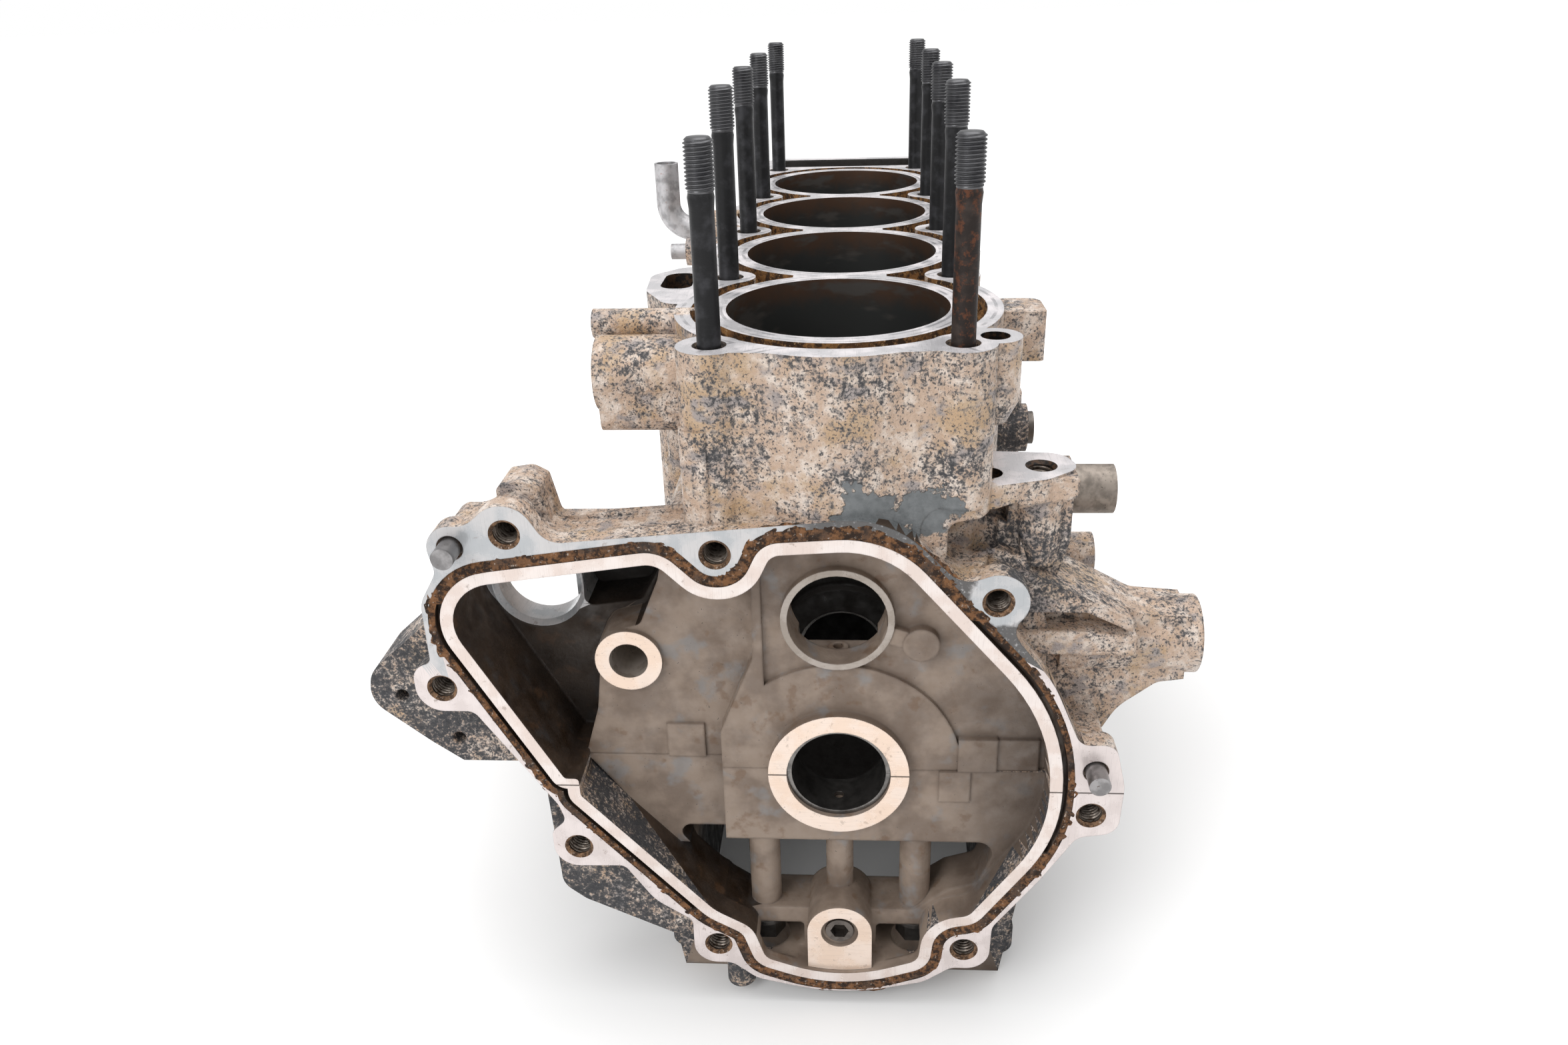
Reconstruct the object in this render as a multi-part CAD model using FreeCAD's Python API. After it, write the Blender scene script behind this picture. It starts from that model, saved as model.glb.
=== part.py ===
import FreeCAD, Part
import math
import os

# Four-cylinder engine block: upper and lower crankcase bolted together, studs in place, crank out.
# Frame: origin on the crank axis at the front cover flange, +X to the right hand of someone facing
# that flange, +Y to the rear along the crank, +Z up along the cylinders. Millimetres.

os.makedirs("parts", exist_ok=True)
V = FreeCAD.Vector
AXES = {"x": V(1, 0, 0), "y": V(0, 1, 0), "z": V(0, 0, 1)}
CLEAR = 0.1

# Cylinders and deck
BORE_R = 41.5
PITCH = 93.0
FIRST_BORE = 66.5
CYLINDERS = 4
DECK = 170.0
BARREL_R = 48.5
BARREL_NECK = 19.0
JACKET_R = 54.7
JACKET_FLOOR = 96.0
BLOCK_R = 60.7
BLOCK_FOOT = 60.0
BORE_FOOT = 52.0
BORE_Y = [FIRST_BORE + PITCH * k for k in range(CYLINDERS)]
MAIN_Y = [FIRST_BORE + PITCH * (k - 0.5) for k in range(CYLINDERS + 1)]

# Head studs and their columns
STUD_X = 45.1
END_STUD_X = 42.25
END_STUD_OFFSET = 49.1
STUD_RISE = 74.0
FRONT_STUD_RISE = 67.0
STUD_DEPTH = 62.0
STUD_THREAD_R = 4.75
STUD_SHANK_R = 4.1
STUD_THREAD_LENGTH = 17.0
STUD_HOLE_R = 5.9
STUD_HOLE_DEPTH = 40.0
STUD_BOSS_R = 10.8
STUD_COLUMN_R = 11.6
PASSAGE_X = 53.6
PASSAGE_Y = 25.4
PASSAGE_R = 5.0
PASSAGE_BOSS_R = 9.2
PASSAGE_BOSS_FOOT = DECK - 22.0
PASSAGE_BOSS_TAIL = 16.0
STUD_RUNOUT = 1.0

# Crankcase, bearing webs and sump rail
WEB = 23.6
WEB_PLATE = 12.0
SADDLE_R = 31.0
HOUSING_R = 20.2
SHELL_WALL = 1.8
SHELL_SIDE = 2.0
OIL_HOLE_R = 2.0
BAY_R = 68.0
CASE_X = 78.0
CASE_SHOULDER = 60.0
CASE_TOP_X = 64.0
CASE_TOP = 101.0
LOWER_SHOULDER = -45.0
SUMP_WALL_X = 68.0
SUMP_ROOM_X = 61.0
SUMP_RAIL_X = 76.0
SUMP_RAIL = 9.0
SUMP = -112.0
FRONT_WEB_BACK = MAIN_Y[0] + WEB / 2
REAR_WEB_BACK = MAIN_Y[-1] + WEB / 2
TUNNEL_FRONT = REAR_WEB_BACK + 0.7
TUNNEL_ROOM = 29.5
TUNNEL_BACK = TUNNEL_FRONT + TUNNEL_ROOM
REAR_WALL = 7.0
BACK = TUNNEL_BACK + REAR_WALL
TUNNEL_X = 44.0
REAR_SEAL_R = 30.0
REAR_HOLES = ((-61.0, 24.0), (61.0, 24.0), (-56.0, 74.0), (56.0, 74.0))
REAR_HOLE_DEPTH = 18.0
PAN_HOLES = 7
PAN_HOLE_X = 71.5
PAN_HOLE_R = 2.6
PAN_HOLE_DEPTH = 8.0
PAN_HOLE_START = 42.0
PAN_HOLE_MARGIN = 8.0
WEB_FOOT = -79.0
WINDOW_TOP = -35.0
WINDOW_FOOT = -71.0
MAIN_BOLT_X = 31.0
MAIN_BOLT_R = 5.0
MAIN_BOLT_FLATS = 13.0
MAIN_BOLT_REACH = 28.0
MAIN_BOSS_R = 8.6
MAIN_ACCESS_R = 9.4
FRONT_POST_R = 6.4
MIDDLE_POST_R = 5.6
SPLIT_RIM_X = 90.0
SPLIT_RIM = 10.0
CASE_BOLT_X = 84.8
CASE_BOLT_R = 3.0
CASE_BOLT_FLATS = 10.0
CASE_BOSS_R = 9.0

# Front cover flange and the chamber behind it
FLANGE_LIP = 9.0
FLANGE_WAIST = 3.0
FLANGE_DEPTH = 28.0
PAD_DEPTH = 12.3
PANEL_DEPTH = 20.5
RECESS_DEPTH = 14.3
POCKET_DEPTH = 38.0
DEEP_POCKET_DEPTH = 58.0
GROOVE_DEPTH = 4.0
GROOVE_START = 4.8
GROOVE_END = 6.8
TRACK_DEPTH = 0.4
TRACK_END = 9.2
THRUST_R = 27.4
THRUST_DEPTH = 8.2
CRANK_DISC_R = 47.5
BALANCER_Z = 67.8
BALANCER_R = 18.5
BALANCER_RING_R = 21.0
BALANCER_RING_DEPTH = 10.3
OIL_LEDGE_Z = 47.0
OIL_LEDGE_FRONT = 21.5
OIL_FEED_Y = FRONT_WEB_BACK - 5.4
IDLER_X = -80.2
IDLER_Z = 45.2
IDLER_R = 7.5
IDLER_BOSS_R = 13.0
STARTER_X = -117.5
STARTER_Z = 67.5
STARTER_R = 16.6
STARTER_WALL = 13.0
STARTER_LIP = 2.0
PLUG_Z = -74.5
PLUG_R = 5.7
PLUG_END = 16.0
PLUG_SOCKET_R = 3.8
PLUG_SOCKET_DEPTH = 6.0
PLUG_WELL_R = 7.6
PLUG_BOSS_R = 13.2
PLUG_BOSS_DEPTH = 2.0
TAPPED_R = 4.4
TAPPED_FLARE_R = 5.7
TAPPED_DEPTH = 22.0
DOWEL_R = 4.0
DOWEL_OUT = 9.0
DOWEL_IN = 12.0
DOWEL_SEAT_R = 4.2
DOWEL_WELL_R = 4.8
DOWEL_WELL = 2.5
DOWELS = (("left", -135.6, 102.4), ("right", 96.0, 9.8))
UPPER_COVER_HOLES = ((-115.5, 107.6), (-42.1, 100.0), (56.5, 81.5), (-147.3, 43.9))
LOWER_COVER_HOLES = ((-103.1, -30.1), (-49.8, -80.0), (50.5, -80.1), (95.8, -10.6))

# Outside fittings
MOUNT_Y = 40.0
MOUNT_Z = 46.5
MOUNT_R = 15.2
MOUNT_TIP = 137.0
MOUNT_HOLE_R = 6.0
EAR_TOP = 120.0
EAR_HOLE = (73.0, 32.0)
UNION_Y = 80.0
UNION_Z = 90.0
UNION_R = 10.0
UNION_TIP = 110.0
UNION_BOSS = 76.0
UNION_SEAT_R = 9.2
UNION_SEAT = 16.0
UNION_WALL = 2.2
SIDE_PLUG_Y = 150.0
SIDE_PLUG_Z = 90.0
SIDE_PLUG_R = 7.5
SIDE_PLUG_BOSS = 84.0
SIDE_PLUG_SEAT = 12.0
SIDE_PLUG_HEAD = 3.0
ELBOW_Y = 250.0
ELBOW_Z = DECK - 7.0
ELBOW_ROOT = -58.0
ELBOW_BOSS = -72.0
ELBOW_R = 6.0
ELBOW_WALL = 1.2
ELBOW_REACH = -90.0
ELBOW_BEND = 13.0
ELBOW_TOP = DECK + 26.0
FITTING_Y = 200.0
FITTING_Z = DECK - 8.0
FITTING_R = 3.7
FITTING_ROOT = -60.0
FITTING_BOSS = -74.5
FITTING_TIP = -82.0
SLIM_BOSS_Y = 60.0
SLIM_BOSS_Z = DECK - 4.0
SLIM_BOSS_TIP = -90.5
LARGE_BOSS_Y = 46.0
LARGE_BOSS_Z = DECK - 18.5
LARGE_BOSS_R = 13.6
LARGE_BOSS_TIP = -87.0

# Outlines: each corner is (across, along, radius), seen from the front where the plane is "y".
FLANGE_OUTLINE = (
    (-146.0, 111.2, 9), (-129.5, 110.6, 9), (-120.0, 118.5, 10.5), (-109.2, 118.5, 10.5),
    (-100.9, 104.1, 9), (18.4, 114.4, 34), (43.5, 88.3, 10), (63.0, 95.5, 10.9),
    (68.9, 79.3, 10.5), (61.2, 70.1, 7), (78.0, 48.4, 50), (89.4, 21.5, 6),
    (102.6, 21.8, 6), (107.2, 3.0, 20), (106.6, -19.0, 7), (91.5, -21.2, 7),
    (78.5, -43.0, 60), (61.3, -67.8, 8), (60.7, -90.2, 9.5), (45.5, -90.2, 7),
    (34.5, -98.5, 12), (0.0, -107.4, 84), (-34.5, -98.5, 12), (-44.5, -90.1, 7),
    (-60.0, -90.1, 9.5), (-59.8, -67.4, 4.5), (-74.5, -57.0, 20), (-85.5, -39.4, 4),
    (-113.1, -40.0, 9.5), (-113.2, -22.8, 5), (-107.0, -17.2, 4), (-109.2, -9.5, 8),
    (-136.7, 33.8, 5), (-157.5, 33.8, 10), (-157.5, 52.6, 7), (-150.0, 55.0, 3),
    (-149.8, 80.0, 12), (-142.4, 92.5, 6),
)
CHAMBER_OUTLINE = (
    (-148.2, 84.7, 17), (-63.4, 96.4, 9), (-49.4, 82.4, 17), (-30.9, 82.4, 17),
    (-22.8, 99.6, 5.5), (16.8, 102.0, 33), (79.6, 29.6, 78), (79.6, -21.3, 60),
    (51.8, -62.2, 6), (34.3, -65.3, 17), (32.1, -87.0, 6), (0.0, -98.6, 58),
    (-30.5, -87.3, 6), (-35.5, -71.0, 12), (-50.5, -62.0, 20), (-99.9, -4.9, 3),
    (-100.0, 3.0, 1.5), (-105.4, 3.1, 2),
)
LEFT_PANEL = (
    (-150, 120, 0), (-30.5, 120, 0), (-32, 50, 5), (-45.5, 17, 5), (-46.2, -120, 0), (-150, -120, 0),
)
STARTER_POCKET = (
    (-160, 110, 0), (-60, 110, 0), (-67, 79, 6), (-75, 60, 4), (-90, 56, 6), (-94.6, 22, 8),
    (-101.4, 0, 0), (-69, -44, 5), (-45, -45, 0), (-45, -110, 0), (-160, -110, 0),
)
DEEP_POCKET = ((-100, 86, 4), (-66, 86, 3), (-70, 74, 3), (-77, 61, 4), (-100, 58, 4))
WEB_WINDOWS = (
    (-69, WINDOW_TOP, 4), (64, WINDOW_TOP, 6), (56, -56, 4), (44, -60, 2), (30, WINDOW_FOOT, 0),
    (-39, WINDOW_FOOT, 0), (-46, -66, 6),
)


def place(plane, across, along, offset):
    """Point at (across, along) on the plane normal to one axis, offset along that axis."""
    if plane == "x":
        return V(offset, across, along)
    if plane == "y":
        return V(across, offset, along)
    return V(across, along, offset)


def outline(corners, plane, offset):
    """Closed wire of straight runs and tangent corner arcs from (across, along, radius) corners."""
    points = [V(across, along, 0) for across, along, radius in corners]
    count = len(points)
    arcs = []
    for index, here in enumerate(points):
        back = (points[index - 1] - here).normalize()
        ahead = (points[(index + 1) % count] - here).normalize()
        radius = corners[index][2]
        half = back.getAngle(ahead) / 2
        reach = radius / math.tan(half)
        crown = (back + ahead).normalize() * (radius / math.sin(half) - radius)
        stops = (here + back * reach, here + crown, here + ahead * reach)
        arcs.append([place(plane, p.x, p.y, offset) for p in stops])
    edges = []
    for index in range(count):
        start, crown, end = arcs[index]
        following = arcs[(index + 1) % count][0]
        if corners[index][2] > 0:
            edges.append(Part.Arc(start, crown, end).toShape())
        if (following - end).Length > 1e-6:
            edges.append(Part.LineSegment(end, following).toShape())
    return Part.Wire(edges)


def prism(corners, plane, start, end, grow=0.0):
    """The outline, grown or shrunk all round, extruded between two offsets along its own axis."""
    face = Part.Face(outline(corners, plane, start))
    if grow:
        face = face.makeOffset2D(grow)
    return face.extrude(AXES[plane] * (end - start))


def rod(axis, across, along, start, end, radius, end_radius=None):
    """Cylinder or cone along an axis, centred at (across, along) on the plane normal to it."""
    foot = place(axis, across, along, start)
    if end_radius is None:
        return Part.makeCylinder(radius, end - start, foot, AXES[axis])
    return Part.makeCone(radius, end_radius, end - start, foot, AXES[axis])


def block(x0, x1, y0, y1, z0, z1):
    return Part.makeBox(x1 - x0, y1 - y0, z1 - z0, V(x0, y0, z0))


def fuse(shapes):
    return shapes[0].fuse(shapes[1:])


def tapped(axis, across, along, mouth, depth, radius=TAPPED_R, flare=TAPPED_FLARE_R):
    """Cutter for a tapped hole and its lead-in; depth is signed along the axis, into the metal."""
    lead = math.copysign(flare - radius, depth)
    hole = rod(axis, across, along, min(mouth, mouth + depth), max(mouth, mouth + depth), radius)
    if depth > 0:
        return hole.fuse(rod(axis, across, along, mouth, mouth + lead, flare, radius))
    return hole.fuse(rod(axis, across, along, mouth + lead, mouth, radius, flare))


STUD_ROWS = [BORE_Y[0] - END_STUD_OFFSET] + MAIN_Y[1:-1] + [BORE_Y[-1] + END_STUD_OFFSET]
STUDS = []
for row, stud_y in enumerate(STUD_ROWS, start=1):
    spread = END_STUD_X if row in (1, len(STUD_ROWS)) else STUD_X
    rise = FRONT_STUD_RISE if row == 1 else STUD_RISE
    STUDS.append(("left_%d" % row, -spread, stud_y, rise))
    STUDS.append(("right_%d" % row, spread, stud_y, rise))
MAIN_BOLTS = [(side, number, x, y) for side, x in (("left", -MAIN_BOLT_X), ("right", MAIN_BOLT_X))
              for number, y in enumerate(MAIN_Y, start=1)]
CASE_BOLTS = [(side, number, x, y) for side, x in (("left", -CASE_BOLT_X), ("right", CASE_BOLT_X))
              for number, y in enumerate(BORE_Y, start=1)]
REACH = 600
ABOVE_SPLIT = block(-REACH, REACH, -REACH, REACH, 0, REACH)
BELOW_SPLIT = block(-REACH, REACH, -REACH, REACH, -REACH, 0)


def cylinder_block():
    """Scalloped outer wall, stud columns, bulged front wall and square rear end, up to the deck."""
    parts = [rod("z", 0, y, BLOCK_FOOT, DECK, BLOCK_R) for y in BORE_Y]
    rear = ((-52, BORE_Y[-1], 0), (-52, BACK, 12), (52, BACK, 12), (52, BORE_Y[-1], 0))
    front = (
        (-43, 40, 0), (-43, 9.2, 0), (-22, 7.6, 14), (-9, 2.6, 40), (9, 2.6, 40), (22, 7.6, 14),
        (43, 9.2, 0), (43, 40, 0),
    )
    parts.append(prism(rear, "z", BLOCK_FOOT, DECK))
    parts.append(prism(front, "z", BLOCK_FOOT, DECK))
    for name, x, y, rise in STUDS:
        parts.append(rod("z", x, y, BLOCK_FOOT, DECK, STUD_COLUMN_R))
        parts.append(block(min(x, 0), max(x, 0), y - 9, y + 9, BLOCK_FOOT, DECK))
    strip = ((-53.8, 18, 0), (-53.8, 8.5, 5), (-43.5, 4.0, 1.5), (-43.5, 14, 0))
    parts.append(prism(strip, "z", BLOCK_FOOT, DECK - 27))
    parts.append(rod("z", PASSAGE_X, PASSAGE_Y, PASSAGE_BOSS_FOOT, DECK, PASSAGE_BOSS_R))
    tail = PASSAGE_BOSS_FOOT - PASSAGE_BOSS_TAIL
    parts.append(rod("z", PASSAGE_X, PASSAGE_Y, tail, PASSAGE_BOSS_FOOT, 1.0, PASSAGE_BOSS_R))
    return fuse(parts)


def water_jacket():
    """Open-deck coolant space round the joined barrels, kept clear of the stud columns."""
    outer = [rod("z", 0, y, JACKET_FLOOR, DECK + 1, JACKET_R) for y in BORE_Y]
    outer.append(block(-36, 36, BORE_Y[0], BORE_Y[-1], JACKET_FLOOR, DECK + 1))
    kept = [rod("z", 0, y, JACKET_FLOOR - 1, DECK + 2, BARREL_R) for y in BORE_Y]
    for y in MAIN_Y[1:-1]:
        kept.append(block(-BARREL_NECK, BARREL_NECK, y - 6, y + 6, JACKET_FLOOR - 1, DECK + 2))
    for name, x, y, rise in STUDS:
        kept.append(rod("z", x, y, JACKET_FLOOR - 1, DECK + 2, STUD_BOSS_R))
    return fuse(outer).cut(kept)


def crank_bays():
    """Room for the crank throws between the webs, open to the sump, round saddles and bolt bosses."""
    room = []
    for front, rear in zip(MAIN_Y[:-1], MAIN_Y[1:]):
        start = FRONT_WEB_BACK if front == MAIN_Y[0] else front + WEB_PLATE / 2
        stop = rear - WEB_PLATE / 2
        room.append(rod("y", 0, 0, start, stop, BAY_R))
        room.append(block(-SUMP_ROOM_X, SUMP_ROOM_X, start, stop, SUMP - 1, -30))
    kept = [rod("y", 0, 0, y - WEB / 2, y + WEB / 2, SADDLE_R) for y in MAIN_Y[1:]]
    for side, number, x, y in MAIN_BOLTS:
        kept.append(rod("z", x, y, WEB_FOOT, MAIN_BOLT_REACH + 12, MAIN_BOSS_R))
    under = block(-SUMP_ROOM_X, SUMP_ROOM_X, FRONT_WEB_BACK, REAR_WEB_BACK, SUMP - 1, WEB_FOOT)
    return fuse(room).cut(kept).fuse(under)


def chain_tunnel():
    """Cam chain space behind the rear web, from deck to sump, with the rear seal bore."""
    room = block(-TUNNEL_X, TUNNEL_X, TUNNEL_FRONT, TUNNEL_BACK, SUMP - 1, DECK + 1)
    return room.fuse(rod("y", 0, 0, TUNNEL_BACK - 1, BACK + 1, REAR_SEAL_R))


def split_rim(low, high):
    """Joint rail along both sides at the split, swollen round each case bolt."""
    plan = (
        (-SPLIT_RIM_X, FLANGE_DEPTH, 0), (-SPLIT_RIM_X, BACK, 12),
        (SPLIT_RIM_X, BACK, 12), (SPLIT_RIM_X, FLANGE_DEPTH, 0),
    )
    bosses = [rod("z", x, y, low, high, CASE_BOSS_R) for side, number, x, y in CASE_BOLTS]
    return [prism(plan, "z", low, high)] + bosses


def flange():
    """Cover flange: a full lip at the sealing face, waisted behind it."""
    return [
        prism(FLANGE_OUTLINE, "y", 0, FLANGE_LIP),
        prism(FLANGE_OUTLINE, "y", FLANGE_LIP - 1, FLANGE_DEPTH, -FLANGE_WAIST),
    ]


def chamber():
    """Space inside the flange: shallow over the crank pad, deeper at the left panel and pocket."""
    whole = prism(CHAMBER_OUTLINE, "y", -1, POCKET_DEPTH)
    recess = prism(CHAMBER_OUTLINE, "y", -1, RECESS_DEPTH).common(block(-28, 90, -2, RECESS_DEPTH, 0, 110))
    return fuse([
        prism(CHAMBER_OUTLINE, "y", -1, PAD_DEPTH),
        whole.common(prism(LEFT_PANEL, "y", -1, PANEL_DEPTH)),
        whole.common(prism(STARTER_POCKET, "y", -1, POCKET_DEPTH)),
        prism(DEEP_POCKET, "y", PANEL_DEPTH, DEEP_POCKET_DEPTH),
        recess.cut(rod("y", 0, 0, -2, RECESS_DEPTH + 1, CRANK_DISC_R)),
    ])


def seal_groove():
    """Narrow channel just outside the inner land, along the left slope and the right-hand side."""
    outer = prism(CHAMBER_OUTLINE, "y", -1, GROOVE_DEPTH, GROOVE_END)
    band = outer.cut(prism(CHAMBER_OUTLINE, "y", -1, GROOVE_DEPTH, GROOVE_START))
    left = block(-160, -42, -2, GROOVE_DEPTH, -62, 80)
    right = block(34, 100, -2, GROOVE_DEPTH, -30, 74)
    return band.common(left.fuse(right))


def residue_track():
    """Shallow band all round the cover face, just outside the inner land, where the sealant lay."""
    outer = prism(CHAMBER_OUTLINE, "y", -1, TRACK_DEPTH, TRACK_END)
    return outer.cut(prism(CHAMBER_OUTLINE, "y", -2, TRACK_DEPTH + 1, GROOVE_START))


def starter_housing():
    """Cast box behind the upper left of the flange, sloping down towards the block at the rear."""
    back = POCKET_DEPTH + STARTER_WALL
    box = prism(((-150, 56, 8), (-149.5, 84, 16), (-136, 100, 8), (-56, 106, 0), (-56, 0, 0), (-115.5, 0, 0)),
                "y", FLANGE_DEPTH - 2, back)
    tail = ((-106, 0, 0), (-106, 104, 10), (-56, 104, 0), (-56, 0, 0))
    rear = prism(tail, "y", back - 1, DEEP_POCKET_DEPTH + 8)
    slope = ((30, 104, 0), (88, 76, 0), (88, 140, 0), (30, 140, 0))
    lug = (
        (-121.5, 100, 0), (-122, 119, 3), (-112, 120.5, 5), (-106.5, 117.5, 2), (-103.4, 103, 3),
        (-100, 100, 0),
    )
    return box.fuse(rear).cut(prism(slope, "x", -200, -50)).fuse(prism(lug, "y", 17, 34))


def right_ear():
    """Faced, tapped pad on an arm at the right front, with its column and bolt boss below."""
    x, y = EAR_HOLE
    plan = ((40, 14, 0), (56, 14, 4), (74, 19.5, 11), (87, 30, 9), (82, 44, 9), (58, 46, 4), (40, 46, 0))
    wedge = ((40, 104, 0), (44, 104, 0), (85, 112, 3), (85, 119, 0), (40, 119, 0))
    column = ((62, 116, 0), (84.5, 116, 0), (84.5, 92, 10), (79, 72, 0), (60, 66, 0))
    return [
        prism(plan, "z", EAR_TOP - 9, EAR_TOP),
        prism(wedge, "y", 21, 44),
        prism(column, "y", 27, 44),
        rod("z", x, y, 84, EAR_TOP, 9.5),
    ]


def mount_arm():
    """Engine mount at the right front: bored boss carried on a web with two ribs and a pocket."""
    web = (
        (60, 86, 0), (68, 84, 5), (92, 73, 20), (113, 61.5, 10), (132, 60, 0), (132, 33, 0), (122, 31.5, 6),
        (108, 20, 20), (102, 8, 6), (104, -2, 0), (60, -2, 0),
    )
    upper_rib = (
        (56, 84, 0), (68, 84.5, 4), (92, 73, 20), (108, 64, 0), (108, 60, 0), (91, 68.2, 4), (56, 68.2, 0),
    )
    lower_rib = ((60, 60, 0), (92, 60, 2), (110, 58, 0), (110, 50, 0), (76, 50.5, 2), (60, 50.5, 0))
    return [
        prism(web, "y", 28, 50),
        rod("x", MOUNT_Y, MOUNT_Z, 84, MOUNT_TIP, MOUNT_R),
        prism(upper_rib, "y", 17, 34),
        prism(lower_rib, "y", 17, 34),
    ]


def left_bosses():
    """Stacked bosses on the left wall: a slim one over a large one with a rounded foot."""
    y, z = LARGE_BOSS_Y, LARGE_BOSS_Z
    foot = ((y - 12, z - 19.5, 5), (y + 12, z - 19.5, 5), (y + 13, z, 0), (y - 13, z, 0))
    return [
        rod("x", SLIM_BOSS_Y, SLIM_BOSS_Z, SLIM_BOSS_TIP, -50, 5.4),
        rod("x", y, z, LARGE_BOSS_TIP, -50, LARGE_BOSS_R),
        prism(foot, "x", LARGE_BOSS_TIP + 1.5, -50),
    ]


def left_port():
    """Deck-level ear on the left wall and the coolant duct under it."""
    ear = ((-50, 70, 0), (-66, 72, 8), (-76, 92, 12), (-78, 118, 12), (-66, 132, 10), (-50, 132, 0))
    duct = ((-50, 86, 0), (-72, 90, 8), (-75, 122, 8), (-50, 126, 0))
    return [prism(ear, "z", DECK - 16, DECK), prism(duct, "z", CASE_TOP - 2, DECK - 8)]


def left_bracket():
    """Plate lug low on the left behind the flange."""
    plan = (
        (-146, 70, 0), (-156, 62.7, 8), (-181, 41, 12), (-183.5, 28, 12), (-161.6, 8.9, 10),
        (-150, 0.0, 0), (-110, 0.0, 0), (-120, 40, 0),
    )
    return prism(plan, "y", 15, 42)


def upper_shape():
    """Outside of the upper crankcase before it is bored and cored."""
    case = (
        (-CASE_X, 0, 0), (-CASE_X, CASE_SHOULDER, 14), (-CASE_TOP_X, CASE_TOP, 10),
        (CASE_TOP_X, CASE_TOP, 10), (CASE_X, CASE_SHOULDER, 14), (CASE_X, 0, 0),
    )
    right_bulge = ((50, 140, 0), (82, 140, 14), (82, 335, 14), (50, 335, 0))
    left_bulge = ((-50, 150, 0), (-88, 150, 14), (-88, 300, 14), (-50, 300, 0))
    deck_lug = ((56, 60, 0), (76, 60, 2), (75.5, 80, 5), (56, 80, 0))
    parts = [cylinder_block(), prism(case, "y", MAIN_Y[0], BACK), starter_housing(), left_bracket()]
    parts.extend(flange() + split_rim(0, SPLIT_RIM) + right_ear() + mount_arm() + left_bosses() + left_port())
    parts.append(prism(right_bulge, "z", 5, 106))
    parts.append(prism(left_bulge, "z", 5, 100))
    parts.append(prism(deck_lug, "z", DECK - 20, DECK - 1.5))
    parts.append(rod("x", 104, 48, 60, 109, 10.0))
    parts.append(rod("x", UNION_Y, UNION_Z, 50, UNION_BOSS, UNION_R + 4))
    parts.append(rod("x", SIDE_PLUG_Y, SIDE_PLUG_Z, 60, SIDE_PLUG_BOSS, SIDE_PLUG_R + 3.5))
    parts.append(rod("x", FITTING_Y, FITTING_Z, FITTING_BOSS, -50, FITTING_R + 3))
    parts.append(rod("x", ELBOW_Y, ELBOW_Z, ELBOW_BOSS, -50, ELBOW_R + 3))
    return fuse(parts).common(ABOVE_SPLIT)


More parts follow.
